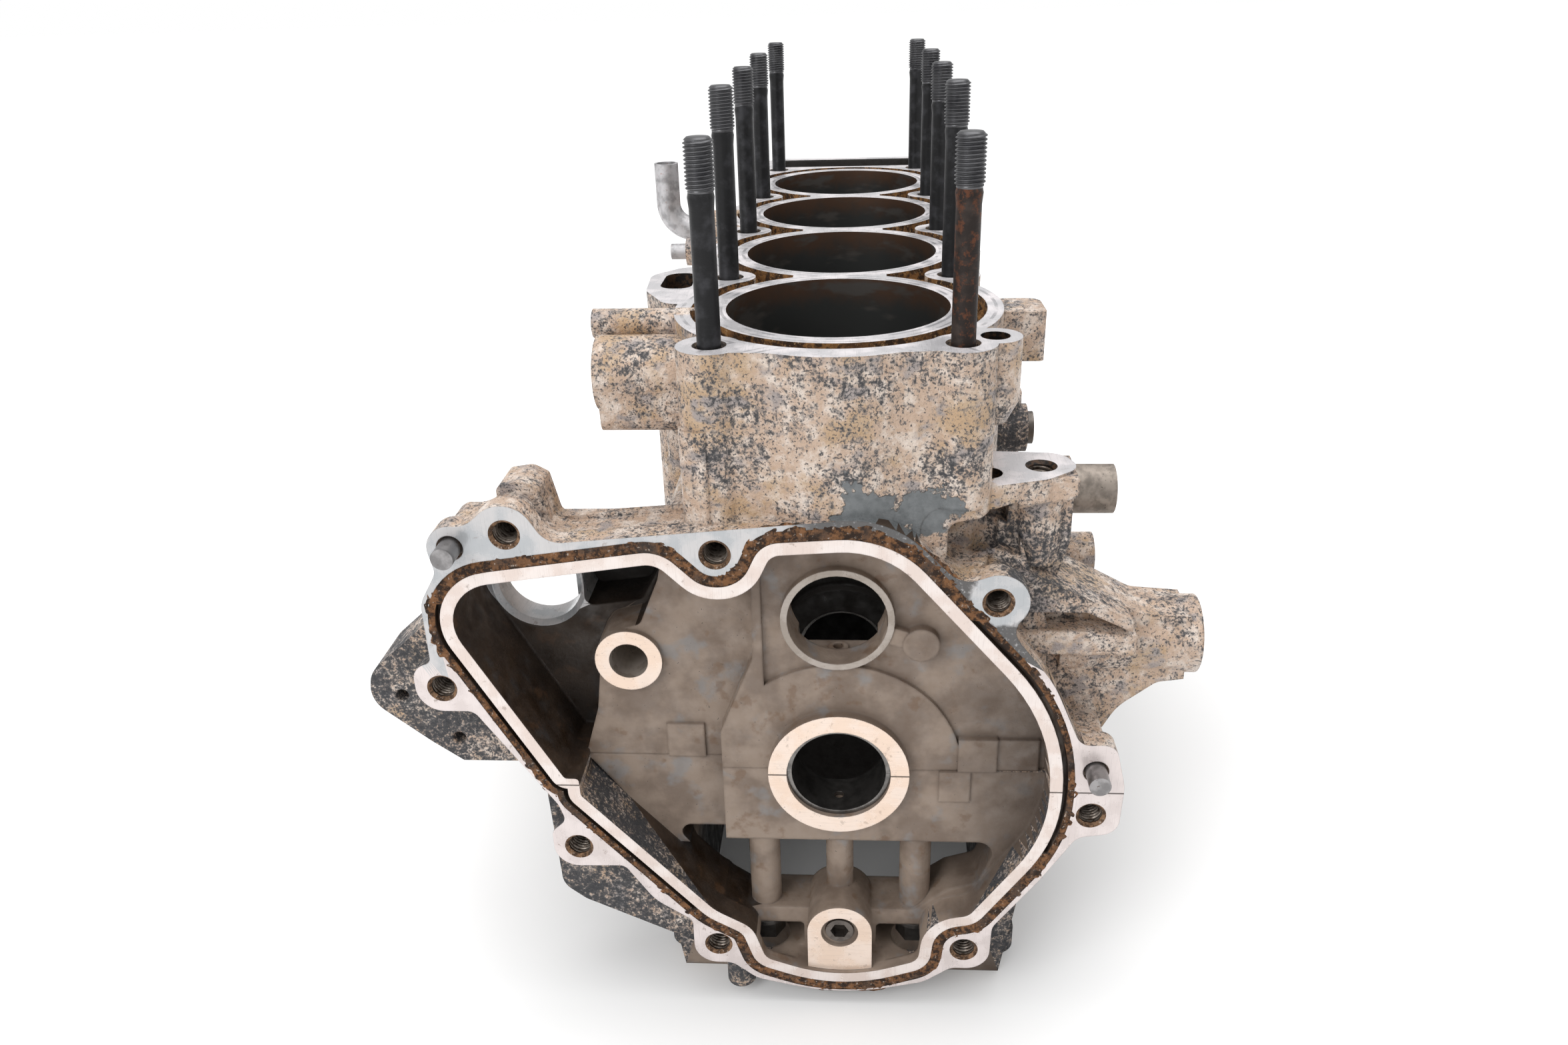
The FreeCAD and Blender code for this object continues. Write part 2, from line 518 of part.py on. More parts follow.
def upper_cuts():
    """Everything bored, cored or tapped in the upper crankcase."""
    cuts = [chamber(), seal_groove(), residue_track(), water_jacket(), crank_bays(), chain_tunnel()]
    cuts.extend(rod("z", 0, y, BORE_FOOT, DECK + 1, BORE_R) for y in BORE_Y)
    cuts.append(rod("y", 0, 0, -1, TUNNEL_FRONT + 1, HOUSING_R))
    cuts.append(rod("y", 0, BALANCER_Z, -1, FRONT_WEB_BACK + 10, BALANCER_R))
    cuts.append(block(-15, 15, OIL_LEDGE_FRONT, FRONT_WEB_BACK + 10, OIL_LEDGE_Z, BALANCER_Z))
    cuts.append(rod("z", 0, OIL_FEED_Y, OIL_LEDGE_Z - 12, OIL_LEDGE_Z + 1, OIL_HOLE_R))
    cuts.append(rod("y", STARTER_X, STARTER_Z, POCKET_DEPTH - 1, POCKET_DEPTH + STARTER_WALL + 1, STARTER_R))
    lip = POCKET_DEPTH + STARTER_LIP
    cuts.append(rod("y", STARTER_X, STARTER_Z, POCKET_DEPTH, lip, STARTER_R + STARTER_LIP, STARTER_R))
    slot = ((-71.5, 95, 6), (-71.5, 121, 6), (-59.5, 121, 5), (-58.5, 95, 5))
    cuts.append(prism(slot, "z", DECK - 55, DECK + 1))
    column_end = ((29, 90, 0), (29, 115, 9), (55, 113, 9), (55, 90, 0))
    cuts.append(prism(column_end, "y", 3, 8.6).cut(prism(FLANGE_OUTLINE, "y", 0, 30)))
    under_arm = prism(((38.6, 90, 0), (38.6, 108, 5), (64, 113, 2), (66, 90, 0)), "y", 7, 27)
    cuts.append(under_arm.cut(prism(FLANGE_OUTLINE, "y", 0, 30)))
    for x, z in REAR_HOLES:
        cuts.append(tapped("y", x, z, BACK, -REAR_HOLE_DEPTH))
    for x, z in UPPER_COVER_HOLES:
        cuts.append(tapped("y", x, z, 0, TAPPED_DEPTH))
    for name, x, z in DOWELS:
        cuts.append(rod("y", x, z, -1, DOWEL_WELL, DOWEL_WELL_R))
        cuts.append(rod("y", x, z, -1, DOWEL_IN, DOWEL_SEAT_R))
    for name, x, y, rise in STUDS:
        cuts.append(rod("z", x, y, DECK - STUD_HOLE_DEPTH, DECK + 1, STUD_HOLE_R))
        cuts.append(rod("z", x, y, DECK - STUD_DEPTH, DECK, STUD_THREAD_R + CLEAR))
    for side, number, x, y in MAIN_BOLTS:
        cuts.append(rod("z", x, y, -1, MAIN_BOLT_REACH, MAIN_BOLT_R + CLEAR))
    for side, number, x, y in CASE_BOLTS:
        cuts.append(rod("z", x, y, -1, SPLIT_RIM + 1, CASE_BOLT_R + CLEAR))
    for x, z in ((-170.3, 30.3), (-150.4, 10.7)):
        cuts.append(tapped("y", x, z, 15, 14, 2.6, 3.2))
    cuts.append(tapped("z", *EAR_HOLE, EAR_TOP, -30, TAPPED_R, TAPPED_FLARE_R))
    cuts.append(tapped("x", MOUNT_Y, MOUNT_Z, MOUNT_TIP, -34, MOUNT_HOLE_R, MOUNT_HOLE_R + 1.2))
    cuts.append(tapped("x", SLIM_BOSS_Y, SLIM_BOSS_Z, SLIM_BOSS_TIP, 16, 2.6, 3.2))
    cuts.append(tapped("x", LARGE_BOSS_Y, LARGE_BOSS_Z, LARGE_BOSS_TIP, 28, 7.5, 8.6))
    cuts.append(rod("z", PASSAGE_X, PASSAGE_Y, 70, DECK + 1, PASSAGE_R))
    cuts.append(rod("x", UNION_Y, UNION_Z, UNION_BOSS - UNION_SEAT, UNION_BOSS + 1, UNION_SEAT_R))
    plug_seat = SIDE_PLUG_BOSS - SIDE_PLUG_SEAT
    cuts.append(rod("x", SIDE_PLUG_Y, SIDE_PLUG_Z, plug_seat, SIDE_PLUG_BOSS + 1, SIDE_PLUG_R + CLEAR))
    cuts.append(rod("x", FITTING_Y, FITTING_Z, FITTING_BOSS - 1, FITTING_ROOT, FITTING_R + CLEAR))
    cuts.append(rod("x", ELBOW_Y, ELBOW_Z, ELBOW_BOSS - 1, ELBOW_ROOT, ELBOW_R + CLEAR))
    return cuts


def thrust_face():
    """Machined ring round the front main bearing that the crank's thrust collar runs on."""
    ring = rod("y", 0, 0, THRUST_DEPTH, FRONT_WEB_BACK, THRUST_R)
    return ring.cut(rod("y", 0, 0, 0, FRONT_WEB_BACK + 1, HOUSING_R))


def upper_crankcase():
    whole = upper_shape().cut(upper_cuts())
    balancer = rod("y", 0, BALANCER_Z, BALANCER_RING_DEPTH, MAIN_Y[0], BALANCER_RING_R)
    idler = rod("y", IDLER_X, IDLER_Z, 18, POCKET_DEPTH + 4, IDLER_BOSS_R)
    neck = ((18.2, 65.4, 0), (27.7, 62.3, 0), (25.5, 55.7, 0), (16.0, 58.8, 0))
    idler_hole = rod("y", IDLER_X, IDLER_Z, 0, POCKET_DEPTH + 3, IDLER_R)
    raised = [
        thrust_face(),
        rod("z", 0, OIL_FEED_Y, OIL_LEDGE_Z - 1, OIL_LEDGE_Z + 0.6, 4.0).cut(
            rod("z", 0, OIL_FEED_Y, OIL_LEDGE_Z - 2, OIL_LEDGE_Z + 1, OIL_HOLE_R)),
        balancer.cut(rod("y", 0, BALANCER_Z, 0, MAIN_Y[0] + 1, BALANCER_R)),
        rod("y", 30.8, 57.6, BALANCER_RING_DEPTH, MAIN_Y[0], 6.8),
        prism(neck, "y", BALANCER_RING_DEPTH + 0.6, MAIN_Y[0]),
        idler,
        block(-67.8, -52.8, PANEL_DEPTH - 1.4, PANEL_DEPTH + 1, 0, 15.7),
        block(46, 61, PAD_DEPTH - 1.0, PAD_DEPTH + 3, 0, 15.2),
        block(60, 77, PAD_DEPTH + 0.4, PAD_DEPTH + 3, 0, 14.4),
    ]
    return fuse([whole] + raised).cut(idler_hole).common(ABOVE_SPLIT).removeSplitter()


def lower_shape():
    """Outside of the lower crankcase before it is bored and cored."""
    case = (
        (-CASE_X, 0, 0), (CASE_X, 0, 0), (CASE_X, LOWER_SHOULDER, 18), (SUMP_WALL_X, SUMP, 0),
        (-SUMP_WALL_X, SUMP, 0), (-CASE_X, LOWER_SHOULDER, 18),
    )
    left_body = (
        (-60, 0, 0), (-60, -86, 0), (-105, -63.5, 9), (-113.7, -56, 9), (-115.2, -9, 4), (-110, 0, 0),
    )
    rail = ((-SUMP_RAIL_X, 30, 8), (-SUMP_RAIL_X, BACK, 12), (SUMP_RAIL_X, BACK, 12), (SUMP_RAIL_X, 30, 8))
    side_lug = ((80, -15, 0), (94.5, -19, 2), (94, -27, 3), (86, -29, 2))
    parts = [prism(case, "y", MAIN_Y[0], BACK), prism(left_body, "y", 7, POCKET_DEPTH + STARTER_WALL)]
    parts.extend(flange() + split_rim(-SPLIT_RIM, 0))
    parts.append(prism(rail, "z", SUMP, SUMP + SUMP_RAIL))
    parts.append(prism(side_lug, "y", 10, 36))
    parts.append(rod("z", -42, 9, -107, -94, 6.0))
    return fuse(parts).common(BELOW_SPLIT)


def front_posts():
    """Round posts, crossbar and plug boss that stand in the open lower part of the front web."""
    posts = [
        rod("z", x, MAIN_Y[0], WINDOW_FOOT - 1, WINDOW_TOP + 3, radius)
        for x, radius in ((-MAIN_BOLT_X, FRONT_POST_R), (0, MIDDLE_POST_R), (MAIN_BOLT_X, FRONT_POST_R))
    ]
    boss_back = MAIN_Y[0] + 8
    posts.append(rod("y", 0, PLUG_Z, PLUG_BOSS_DEPTH, boss_back, PLUG_BOSS_R))
    posts.append(block(-PLUG_BOSS_R, PLUG_BOSS_R, PLUG_BOSS_DEPTH, boss_back, -98, PLUG_Z))
    return posts


def lower_crankcase():
    cuts = [chamber(), seal_groove(), residue_track(), crank_bays(), chain_tunnel()]
    cuts.append(prism(WEB_WINDOWS, "y", PAD_DEPTH - 2, FRONT_WEB_BACK + 1))
    for side in (-1, 1):
        near, far = side * 15, side * 35
        opening = ((near, WEB_FOOT, 2), (far, WEB_FOOT, 2), (far, -92, 3), (near, -92, 3))
        cuts.append(prism(opening, "y", 5, FRONT_WEB_BACK + 1))
    cuts.append(rod("y", 0, 0, -1, TUNNEL_FRONT + 1, HOUSING_R))
    for x, z in REAR_HOLES:
        cuts.append(tapped("y", x, -z, BACK, -REAR_HOLE_DEPTH))
    for number in range(PAN_HOLES):
        y = PAN_HOLE_START + number * (BACK - 2 * PAN_HOLE_MARGIN - PAN_HOLE_START) / (PAN_HOLES - 1)
        for x in (-PAN_HOLE_X, PAN_HOLE_X):
            cuts.append(tapped("z", x, y, SUMP, PAN_HOLE_DEPTH, PAN_HOLE_R, PAN_HOLE_R + 0.5))
    for x, z in LOWER_COVER_HOLES:
        cuts.append(tapped("y", x, z, 0, TAPPED_DEPTH))
    for side, number, x, y in CASE_BOLTS:
        cuts.append(rod("z", x, y, -SPLIT_RIM - 1, 1, CASE_BOLT_R + CLEAR))
    whole = lower_shape().cut(cuts)
    raised = [thrust_face(), block(39, 51.2, PAD_DEPTH - 1.0, PAD_DEPTH + 3, -14.5, 0)]
    whole = fuse([whole] + raised + front_posts())
    holes = [rod("z", x, y, SUMP, 1, MAIN_BOLT_R + CLEAR) for side, number, x, y in MAIN_BOLTS]
    for x in (-MAIN_BOLT_X, MAIN_BOLT_X):
        holes.append(rod("z", x, MAIN_Y[0], SUMP - 1, WEB_FOOT, MAIN_ACCESS_R))
    holes.append(rod("y", 0, PLUG_Z, 1, PLUG_END, PLUG_R + CLEAR))
    holes.append(rod("y", 0, PLUG_Z, 1, PLUG_BOSS_DEPTH + 2, PLUG_WELL_R))
    return whole.cut(holes).common(BELOW_SPLIT).removeSplitter()


def head_stud(x, y, rise):
    """Waisted stud: threaded foot in the block, plain shank, threaded top with a chamfered crown."""
    foot = DECK - STUD_DEPTH
    thread_foot = DECK - STUD_HOLE_DEPTH + STUD_RUNOUT
    top = DECK + rise
    neck = top - STUD_THREAD_LENGTH
    return fuse([
        rod("z", x, y, foot, thread_foot, STUD_THREAD_R),
        rod("z", x, y, thread_foot, neck - 3, STUD_SHANK_R),
        rod("z", x, y, neck - 3, neck, STUD_SHANK_R, STUD_THREAD_R),
        rod("z", x, y, neck, top - 1.2, STUD_THREAD_R),
        rod("z", x, y, top - 1.2, top, STUD_THREAD_R, STUD_THREAD_R - 1.4),
    ]).removeSplitter()


def main_shell(y, half):
    """Half bearing shell with an oil hole at its middle."""
    front = y - WEB / 2 + SHELL_SIDE
    back = y + WEB / 2 - SHELL_SIDE
    outer = rod("y", 0, 0, front, back, HOUSING_R - CLEAR)
    ring = outer.cut(rod("y", 0, 0, front, back, HOUSING_R - CLEAR - SHELL_WALL))
    return ring.cut(rod("z", 0, y, -REACH, REACH, OIL_HOLE_R)).common(half)


def flange_bolt(x, y, seat, tip, shank_r, across_flats):
    """Hex bolt with a round washer face, head below its seat and shank upwards."""
    corner = across_flats / math.sqrt(3)
    turns = [math.radians(60 * k) for k in range(6)]
    hexagon = [(x + corner * math.cos(t), y + corner * math.sin(t), 0) for t in turns]
    head = across_flats * 0.62
    washer = across_flats * 0.16
    return fuse([
        prism(hexagon, "z", seat - washer - head, seat - washer),
        rod("z", x, y, seat - washer, seat, corner * 1.1),
        rod("z", x, y, seat - washer, tip, shank_r),
    ]).removeSplitter()


def flange_dowel(x, z):
    """Ground dowel for the cover, with a larger end pressed into the flange."""
    free = rod("y", x, z, -DOWEL_OUT, DOWEL_WELL, DOWEL_R)
    return free.fuse(rod("y", x, z, DOWEL_WELL, DOWEL_IN, DOWEL_SEAT_R))


def gallery_plug():
    """Hex socket plug that closes the oil gallery at the foot of the front web."""
    turns = [math.radians(60 * k) for k in range(6)]
    socket = [(PLUG_SOCKET_R * math.cos(t), PLUG_Z + PLUG_SOCKET_R * math.sin(t), 0) for t in turns]
    plug = rod("y", 0, PLUG_Z, PLUG_BOSS_DEPTH + 1, PLUG_END, PLUG_R)
    return plug.cut(prism(socket, "y", PLUG_BOSS_DEPTH, PLUG_BOSS_DEPTH + PLUG_SOCKET_DEPTH))


def coolant_union():
    """Straight hose stub that shoulders against its boss, with a slimmer end pressed into it."""
    seat = UNION_BOSS - UNION_SEAT
    tube = rod("x", UNION_Y, UNION_Z, UNION_BOSS, UNION_TIP, UNION_R)
    tube = tube.fuse(rod("x", UNION_Y, UNION_Z, seat, UNION_BOSS, UNION_SEAT_R))
    return tube.cut(rod("x", UNION_Y, UNION_Z, seat - 1, UNION_TIP + 1, UNION_R - UNION_WALL))


def coolant_elbow():
    """Bent steel pipe pressed into the left wall, turning up beside the deck."""
    bend_start = V(ELBOW_REACH + ELBOW_BEND, ELBOW_Y, ELBOW_Z)
    bend_end = V(ELBOW_REACH, ELBOW_Y, ELBOW_Z + ELBOW_BEND)
    lean = ELBOW_BEND * (1 - math.sqrt(0.5))
    path = Part.Wire([
        Part.LineSegment(V(ELBOW_ROOT, ELBOW_Y, ELBOW_Z), bend_start).toShape(),
        Part.Arc(bend_start, V(ELBOW_REACH + lean, ELBOW_Y, ELBOW_Z + lean), bend_end).toShape(),
        Part.LineSegment(bend_end, V(ELBOW_REACH, ELBOW_Y, ELBOW_TOP)).toShape(),
    ])
    skins = []
    for radius in (ELBOW_R, ELBOW_R - ELBOW_WALL):
        ring = Part.Wire([Part.makeCircle(radius, V(ELBOW_ROOT, ELBOW_Y, ELBOW_Z), AXES["x"])])
        skins.append(path.makePipeShell([ring], True, False))
    return skins[0].cut(skins[1])


def export(shape, node):
    shape.exportStep("parts/" + node + ".step")


export(upper_crankcase(), "upper_crankcase")
export(lower_crankcase(), "lower_crankcase")
for name, x, y, rise in STUDS:
    export(head_stud(x, y, rise), "head_stud_" + name)
for number, y in enumerate(MAIN_Y, start=1):
    export(main_shell(y, ABOVE_SPLIT), "main_shell_upper_%d" % number)
    export(main_shell(y, BELOW_SPLIT), "main_shell_lower_%d" % number)
for side, number, x, y in MAIN_BOLTS:
    bolt = flange_bolt(x, y, WEB_FOOT, MAIN_BOLT_REACH - 1, MAIN_BOLT_R, MAIN_BOLT_FLATS)
    export(bolt, "main_bolt_%s_%d" % (side, number))
for side, number, x, y in CASE_BOLTS:
    bolt = flange_bolt(x, y, -SPLIT_RIM, SPLIT_RIM, CASE_BOLT_R, CASE_BOLT_FLATS)
    export(bolt, "case_bolt_%s_%d" % (side, number))
for name, x, z in DOWELS:
    export(flange_dowel(x, z), "flange_dowel_" + name)
export(gallery_plug(), "gallery_plug")
export(coolant_union(), "coolant_union")
export(coolant_elbow(), "coolant_elbow")
side_plug = (SIDE_PLUG_BOSS - SIDE_PLUG_SEAT, SIDE_PLUG_BOSS + SIDE_PLUG_HEAD)
export(rod("x", SIDE_PLUG_Y, SIDE_PLUG_Z, *side_plug, SIDE_PLUG_R), "side_gallery_plug")
export(rod("x", FITTING_Y, FITTING_Z, FITTING_TIP, FITTING_ROOT, FITTING_R), "vent_stub")
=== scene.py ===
import math

import bpy
import numpy as np
from mathutils import Matrix, Vector, noise


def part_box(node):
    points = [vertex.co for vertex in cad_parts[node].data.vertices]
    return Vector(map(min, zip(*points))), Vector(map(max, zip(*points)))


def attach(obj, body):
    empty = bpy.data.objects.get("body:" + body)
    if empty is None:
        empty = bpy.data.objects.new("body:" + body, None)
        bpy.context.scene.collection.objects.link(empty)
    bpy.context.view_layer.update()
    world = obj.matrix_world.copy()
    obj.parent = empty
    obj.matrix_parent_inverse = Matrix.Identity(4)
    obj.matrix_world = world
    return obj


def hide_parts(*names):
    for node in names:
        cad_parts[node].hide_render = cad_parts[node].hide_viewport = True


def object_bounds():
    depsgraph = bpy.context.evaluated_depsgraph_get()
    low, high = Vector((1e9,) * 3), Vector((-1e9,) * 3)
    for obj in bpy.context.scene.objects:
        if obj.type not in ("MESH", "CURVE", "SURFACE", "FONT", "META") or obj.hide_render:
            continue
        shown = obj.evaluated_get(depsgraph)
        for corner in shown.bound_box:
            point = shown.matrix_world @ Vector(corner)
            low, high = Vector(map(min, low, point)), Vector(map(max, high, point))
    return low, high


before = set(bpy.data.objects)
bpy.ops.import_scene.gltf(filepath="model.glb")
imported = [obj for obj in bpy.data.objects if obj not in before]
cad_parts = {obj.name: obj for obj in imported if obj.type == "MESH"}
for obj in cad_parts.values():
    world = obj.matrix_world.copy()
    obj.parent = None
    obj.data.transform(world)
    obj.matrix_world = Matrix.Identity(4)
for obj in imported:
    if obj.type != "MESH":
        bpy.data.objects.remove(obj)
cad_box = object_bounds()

# ---------------------------------------------------------------------------
# Cast skin of both crankcases.
# Die-cast aluminium left as it came out of the mould, weathered outdoors: pale tan dust and oxide
# over grey metal, peppered with black pits, and worn through to blue-grey on the front wall.
# ---------------------------------------------------------------------------
MM = 0.001


class Finish:
    """A procedural material under construction: each call adds nodes and returns their output."""

    def __init__(self, name):
        self.material = bpy.data.materials.new(name)
        self.material.use_nodes = True
        self.tree = self.material.node_tree
        self.shader = self.tree.nodes["Principled BSDF"]
        self.place = self.tree.nodes.new("ShaderNodeTexCoord").outputs["Object"]
        split = self.tree.nodes.new("ShaderNodeSeparateXYZ")
        self.tree.links.new(self.place, split.inputs[0])
        self.x, self.y, self.z = split.outputs

    def feed(self, socket, value):
        if isinstance(value, bpy.types.NodeSocket):
            self.tree.links.new(value, socket)
        else:
            socket.default_value = value

    def feed_colour(self, socket, colour):
        self.feed(socket, colour if isinstance(colour, bpy.types.NodeSocket) else (*colour, 1.0))

    def noise(self, size_mm, detail=3.0, rough=0.55, stretch=None):
        node = self.tree.nodes.new("ShaderNodeTexNoise")
        node.inputs["Scale"].default_value = 1 / (size_mm * MM)
        node.inputs["Detail"].default_value = detail
        node.inputs["Roughness"].default_value = rough
        self.feed(node.inputs["Vector"], self.stretched(stretch) if stretch else self.place)
        return node.outputs["Fac"]

    def stretched(self, scale):
        node = self.tree.nodes.new("ShaderNodeMapping")
        node.inputs["Scale"].default_value = scale
        self.feed(node.inputs["Vector"], self.place)
        return node.outputs[0]

    def reckon(self, operation, *values):
        node = self.tree.nodes.new("ShaderNodeMath")
        node.operation = operation
        for socket, value in zip(node.inputs, values):
            self.feed(socket, value)
        return node.outputs[0]

    def plus(self, a, b):
        return self.reckon("ADD", a, b)

    def minus(self, a, b):
        return self.reckon("SUBTRACT", a, b)

    def times(self, a, b):
        return self.reckon("MULTIPLY", a, b)

    def length(self, a, b):
        return self.reckon("SQRT", self.plus(self.times(a, a), self.times(b, b)))

    def step(self, value, low, high):
        """0 below low, 1 above high, smooth between; low above high runs the other way."""
        node = self.tree.nodes.new("ShaderNodeMapRange")
        node.interpolation_type = "SMOOTHSTEP"
        self.feed(node.inputs["Value"], value)
        if low > high:
            low, high = high, low
            node.inputs["To Min"].default_value = 1.0
            node.inputs["To Max"].default_value = 0.0
        node.inputs["From Min"].default_value = low
        node.inputs["From Max"].default_value = high
        return node.outputs[0]

    def step_mm(self, value, low, high):
        return self.step(value, low * MM, high * MM)

    def blend(self, share, a, b):
        node = self.tree.nodes.new("ShaderNodeMix")
        node.data_type = "RGBA"
        self.feed(node.inputs["Factor"], share)
        self.feed_colour(node.inputs[6], a)
        self.feed_colour(node.inputs[7], b)
        return node.outputs[2]

    def spot(self, colour, mask, strength, tint):
        """The colour with a tint laid over it where the mask is, at most as strong as given."""
        return self.blend(self.times(mask, strength), colour, tint)

    def relief(self, height, depth_mm, strength=1.0, edge_mm=0.0):
        node = self.tree.nodes.new("ShaderNodeBump")
        node.inputs["Strength"].default_value = strength
        node.inputs["Distance"].default_value = depth_mm * MM
        self.feed(node.inputs["Height"], height)
        if edge_mm:
            worn = self.tree.nodes.new("ShaderNodeBevel")
            worn.samples = 4
            worn.inputs["Radius"].default_value = edge_mm * MM
            self.feed(node.inputs["Normal"], worn.outputs[0])
        return node.outputs[0]

    def finish(self, colour, roughness, normal, metallic=0.0):
        self.feed_colour(self.shader.inputs["Base Color"], colour)
        self.feed(self.shader.inputs["Roughness"], roughness)
        self.feed(self.shader.inputs["Metallic"], metallic)
        self.feed(self.shader.inputs["Normal"], normal)
        return self.material


def dusty_skin(skin):
    """Dust and oxide without the pits: tan and cream, with ochre and mauve clouds."""
    tan = (0.585, 0.425, 0.318)
    cream = (0.80, 0.690, 0.605)
    ochre = (0.52, 0.345, 0.190)
    mauve = (0.40, 0.345, 0.325)
    dust = skin.blend(skin.step(skin.noise(6, 5, 0.65), 0.42, 0.66), tan, cream)
    dust = skin.spot(dust, skin.step(skin.noise(17, 5, 0.6), 0.50, 0.66), 0.75, ochre)
    return skin.blend(skin.step(skin.noise(11, 3, stretch=(1, 1, 1.4)), 0.55, 0.68), dust, mauve)


def sooty_places(skin):
    """How much darker the pits make the left lug, the lower crankcase and the hollow by the ear."""
    lug = skin.times(skin.step_mm(skin.x, -122, -140), skin.step_mm(skin.z, 75, 50))
    below = skin.step_mm(skin.z, 6, -12)
    hollow = skin.times(skin.step_mm(skin.x, 52, 62), skin.step_mm(skin.z, 110, 100))
    hollow = skin.times(hollow, skin.step_mm(skin.z, 62, 86))
    return skin.reckon("MAXIMUM", skin.reckon("MAXIMUM", lug, below), skin.times(hollow, 0.8))


def worn_patch(skin):
    """Ragged patch low on the front wall where the skin has worn through to grey metal."""
    middle_x, middle_z = 18 * MM, 116 * MM
    half_width, half_height = 27 * MM, 17 * MM
    across = skin.reckon("DIVIDE", skin.minus(skin.x, middle_x), half_width)
    along = skin.reckon("DIVIDE", skin.minus(skin.z, middle_z), half_height)
    ragged = skin.times(skin.minus(skin.noise(13, 5), 0.5), 3.4)
    patch = skin.plus(skin.minus(1.0, skin.length(across, along)), ragged)
    return skin.times(skin.step(patch, 0.36, 0.46), skin.step_mm(skin.y, 16, 11))


def weathered_casting(name):
    skin = Finish(name)
    charcoal = (0.052, 0.053, 0.058)
    grey = (0.180, 0.170, 0.168)
    slate = (0.128, 0.138, 0.142)
    pale_slate = (0.165, 0.175, 0.18)
    drift = skin.minus(skin.noise(15, 3), 0.5)
    shift = skin.plus(skin.times(drift, 0.38), skin.times(sooty_places(skin), 0.125))
    blot = skin.plus(skin.noise(2.1, 6, 0.68), shift)
    dot = skin.plus(skin.noise(0.95, 3, 0.55), skin.times(shift, 0.8))
    colour = skin.spot(dusty_skin(skin), skin.step(blot, 0.50, 0.60), 0.72, grey)
    colour = skin.spot(colour, skin.step(dot, 0.560, 0.62), 0.88, charcoal)
    colour = skin.spot(colour, skin.step(blot, 0.60, 0.65), 0.9, charcoal)
    patch = worn_patch(skin)
    metal = skin.blend(skin.step(skin.noise(2.4, 3), 0.35, 0.65), slate, pale_slate)
    colour = skin.blend(patch, colour, metal)
    rough = skin.plus(skin.times(skin.noise(0.8, 4, 0.6), 0.8), skin.times(skin.noise(3.5, 3), 1.0))
    rough = skin.times(rough, skin.minus(1.0, skin.times(patch, 0.85)))
    return skin.finish(colour, skin.step(blot, 0.2, 0.9), skin.relief(rough, 0.8, 1.0, edge_mm=1.8))


cast_skin = weathered_casting("weathered_cast_aluminium")

# ---------------------------------------------------------------------------
# Machined faces: deck, cover flange lands, thrust ring and faced bosses.
# Milled aluminium, dulled to blue-grey outside the seal and to a pinkish white inside it, with fine
# cutter lines, stains, and the grey imprint of the head gasket round each bore.
# ---------------------------------------------------------------------------
PITCH = 93
FIRST_BORE = 66.5
GASKET_BANDS = ((42.9, 43.9), (46.4, 47.0), (57.4, 58.4))
FLANGE_EAR = (58, 84)


def gasket_imprint(face, colour):
    """Grey rings that the head gasket left round every bore."""
    wrapped = face.reckon("WRAP", face.y, (FIRST_BORE + PITCH / 2) * MM, (FIRST_BORE - PITCH / 2) * MM)
    radius = face.length(face.x, face.minus(wrapped, FIRST_BORE * MM))
    for near, far in GASKET_BANDS:
        band = face.times(face.step_mm(radius, near - 0.25, near), face.step_mm(radius, far + 0.25, far))
        band = face.times(band, face.step(face.noise(8, 3), 0.38, 0.60))
        colour = face.spot(colour, band, 0.6, (0.17, 0.17, 0.18))
    return colour


def burnt_edge(face, colour):
    """Black oil baked on the land over the arch and down the right flank, but not round the ear."""
    ear_x, ear_z = FLANGE_EAR
    ear = face.length(face.minus(face.x, ear_x * MM), face.minus(face.z, ear_z * MM))
    ragged = face.times(face.minus(face.noise(5, 4), 0.5), 9 * MM)
    soot = face.times(face.step_mm(face.plus(face.x, ragged), -22, -6),
                      face.step_mm(face.plus(ear, ragged), 10.5, 13))
    soot = face.times(soot, face.step(face.noise(1.6, 4, 0.7), 0.24, 0.46))
    return face.spot(colour, soot, 0.92, (0.062, 0.058, 0.056))


def joint_line(face, colour):
    """Dark hairline where the lower crankcase meets the upper one."""
    line = face.step_mm(face.reckon("ABSOLUTE", face.z), 0.42, 0.22)
    return face.spot(colour, line, 0.85, (0.035, 0.022, 0.015))


def milled_face(name, tint, worn_tint, cut_along, stain, under=None, over=None):
    """Milled metal with cutter lines; a mark can lie under the stains or over them."""
    face = Finish(name)
    lines = face.noise(0.35, 2, 0.5, stretch=[1.0 if axis == cut_along else 0.04 for axis in "xyz"])
    cloud = face.noise(12, 4)
    colour = face.blend(face.step(cloud, 0.40, 0.62), tint, worn_tint)
    colour = face.spot(colour, face.step(lines, 0.5, 0.75), 0.35, [c * 0.72 for c in tint])
    if under:
        colour = under(face, colour)
    spots = face.step(face.noise(3.4, 5, 0.7), 0.60, 0.68)
    colour = face.spot(colour, spots, stain, (0.16, 0.10, 0.065))
    if over:
        colour = over(face, colour)
    scuff = face.step(face.noise(1.1, 3, 0.7), 0.66, 0.72)
    colour = face.spot(colour, scuff, 0.6, (0.10, 0.10, 0.11))
    height = face.plus(face.times(lines, 0.6), face.noise(2.0, 3))
    normal = face.relief(height, 0.07, 0.6, edge_mm=0.5)
    return face.finish(colour, face.step(cloud, 0.1, 1.2), normal, metallic=0.25)


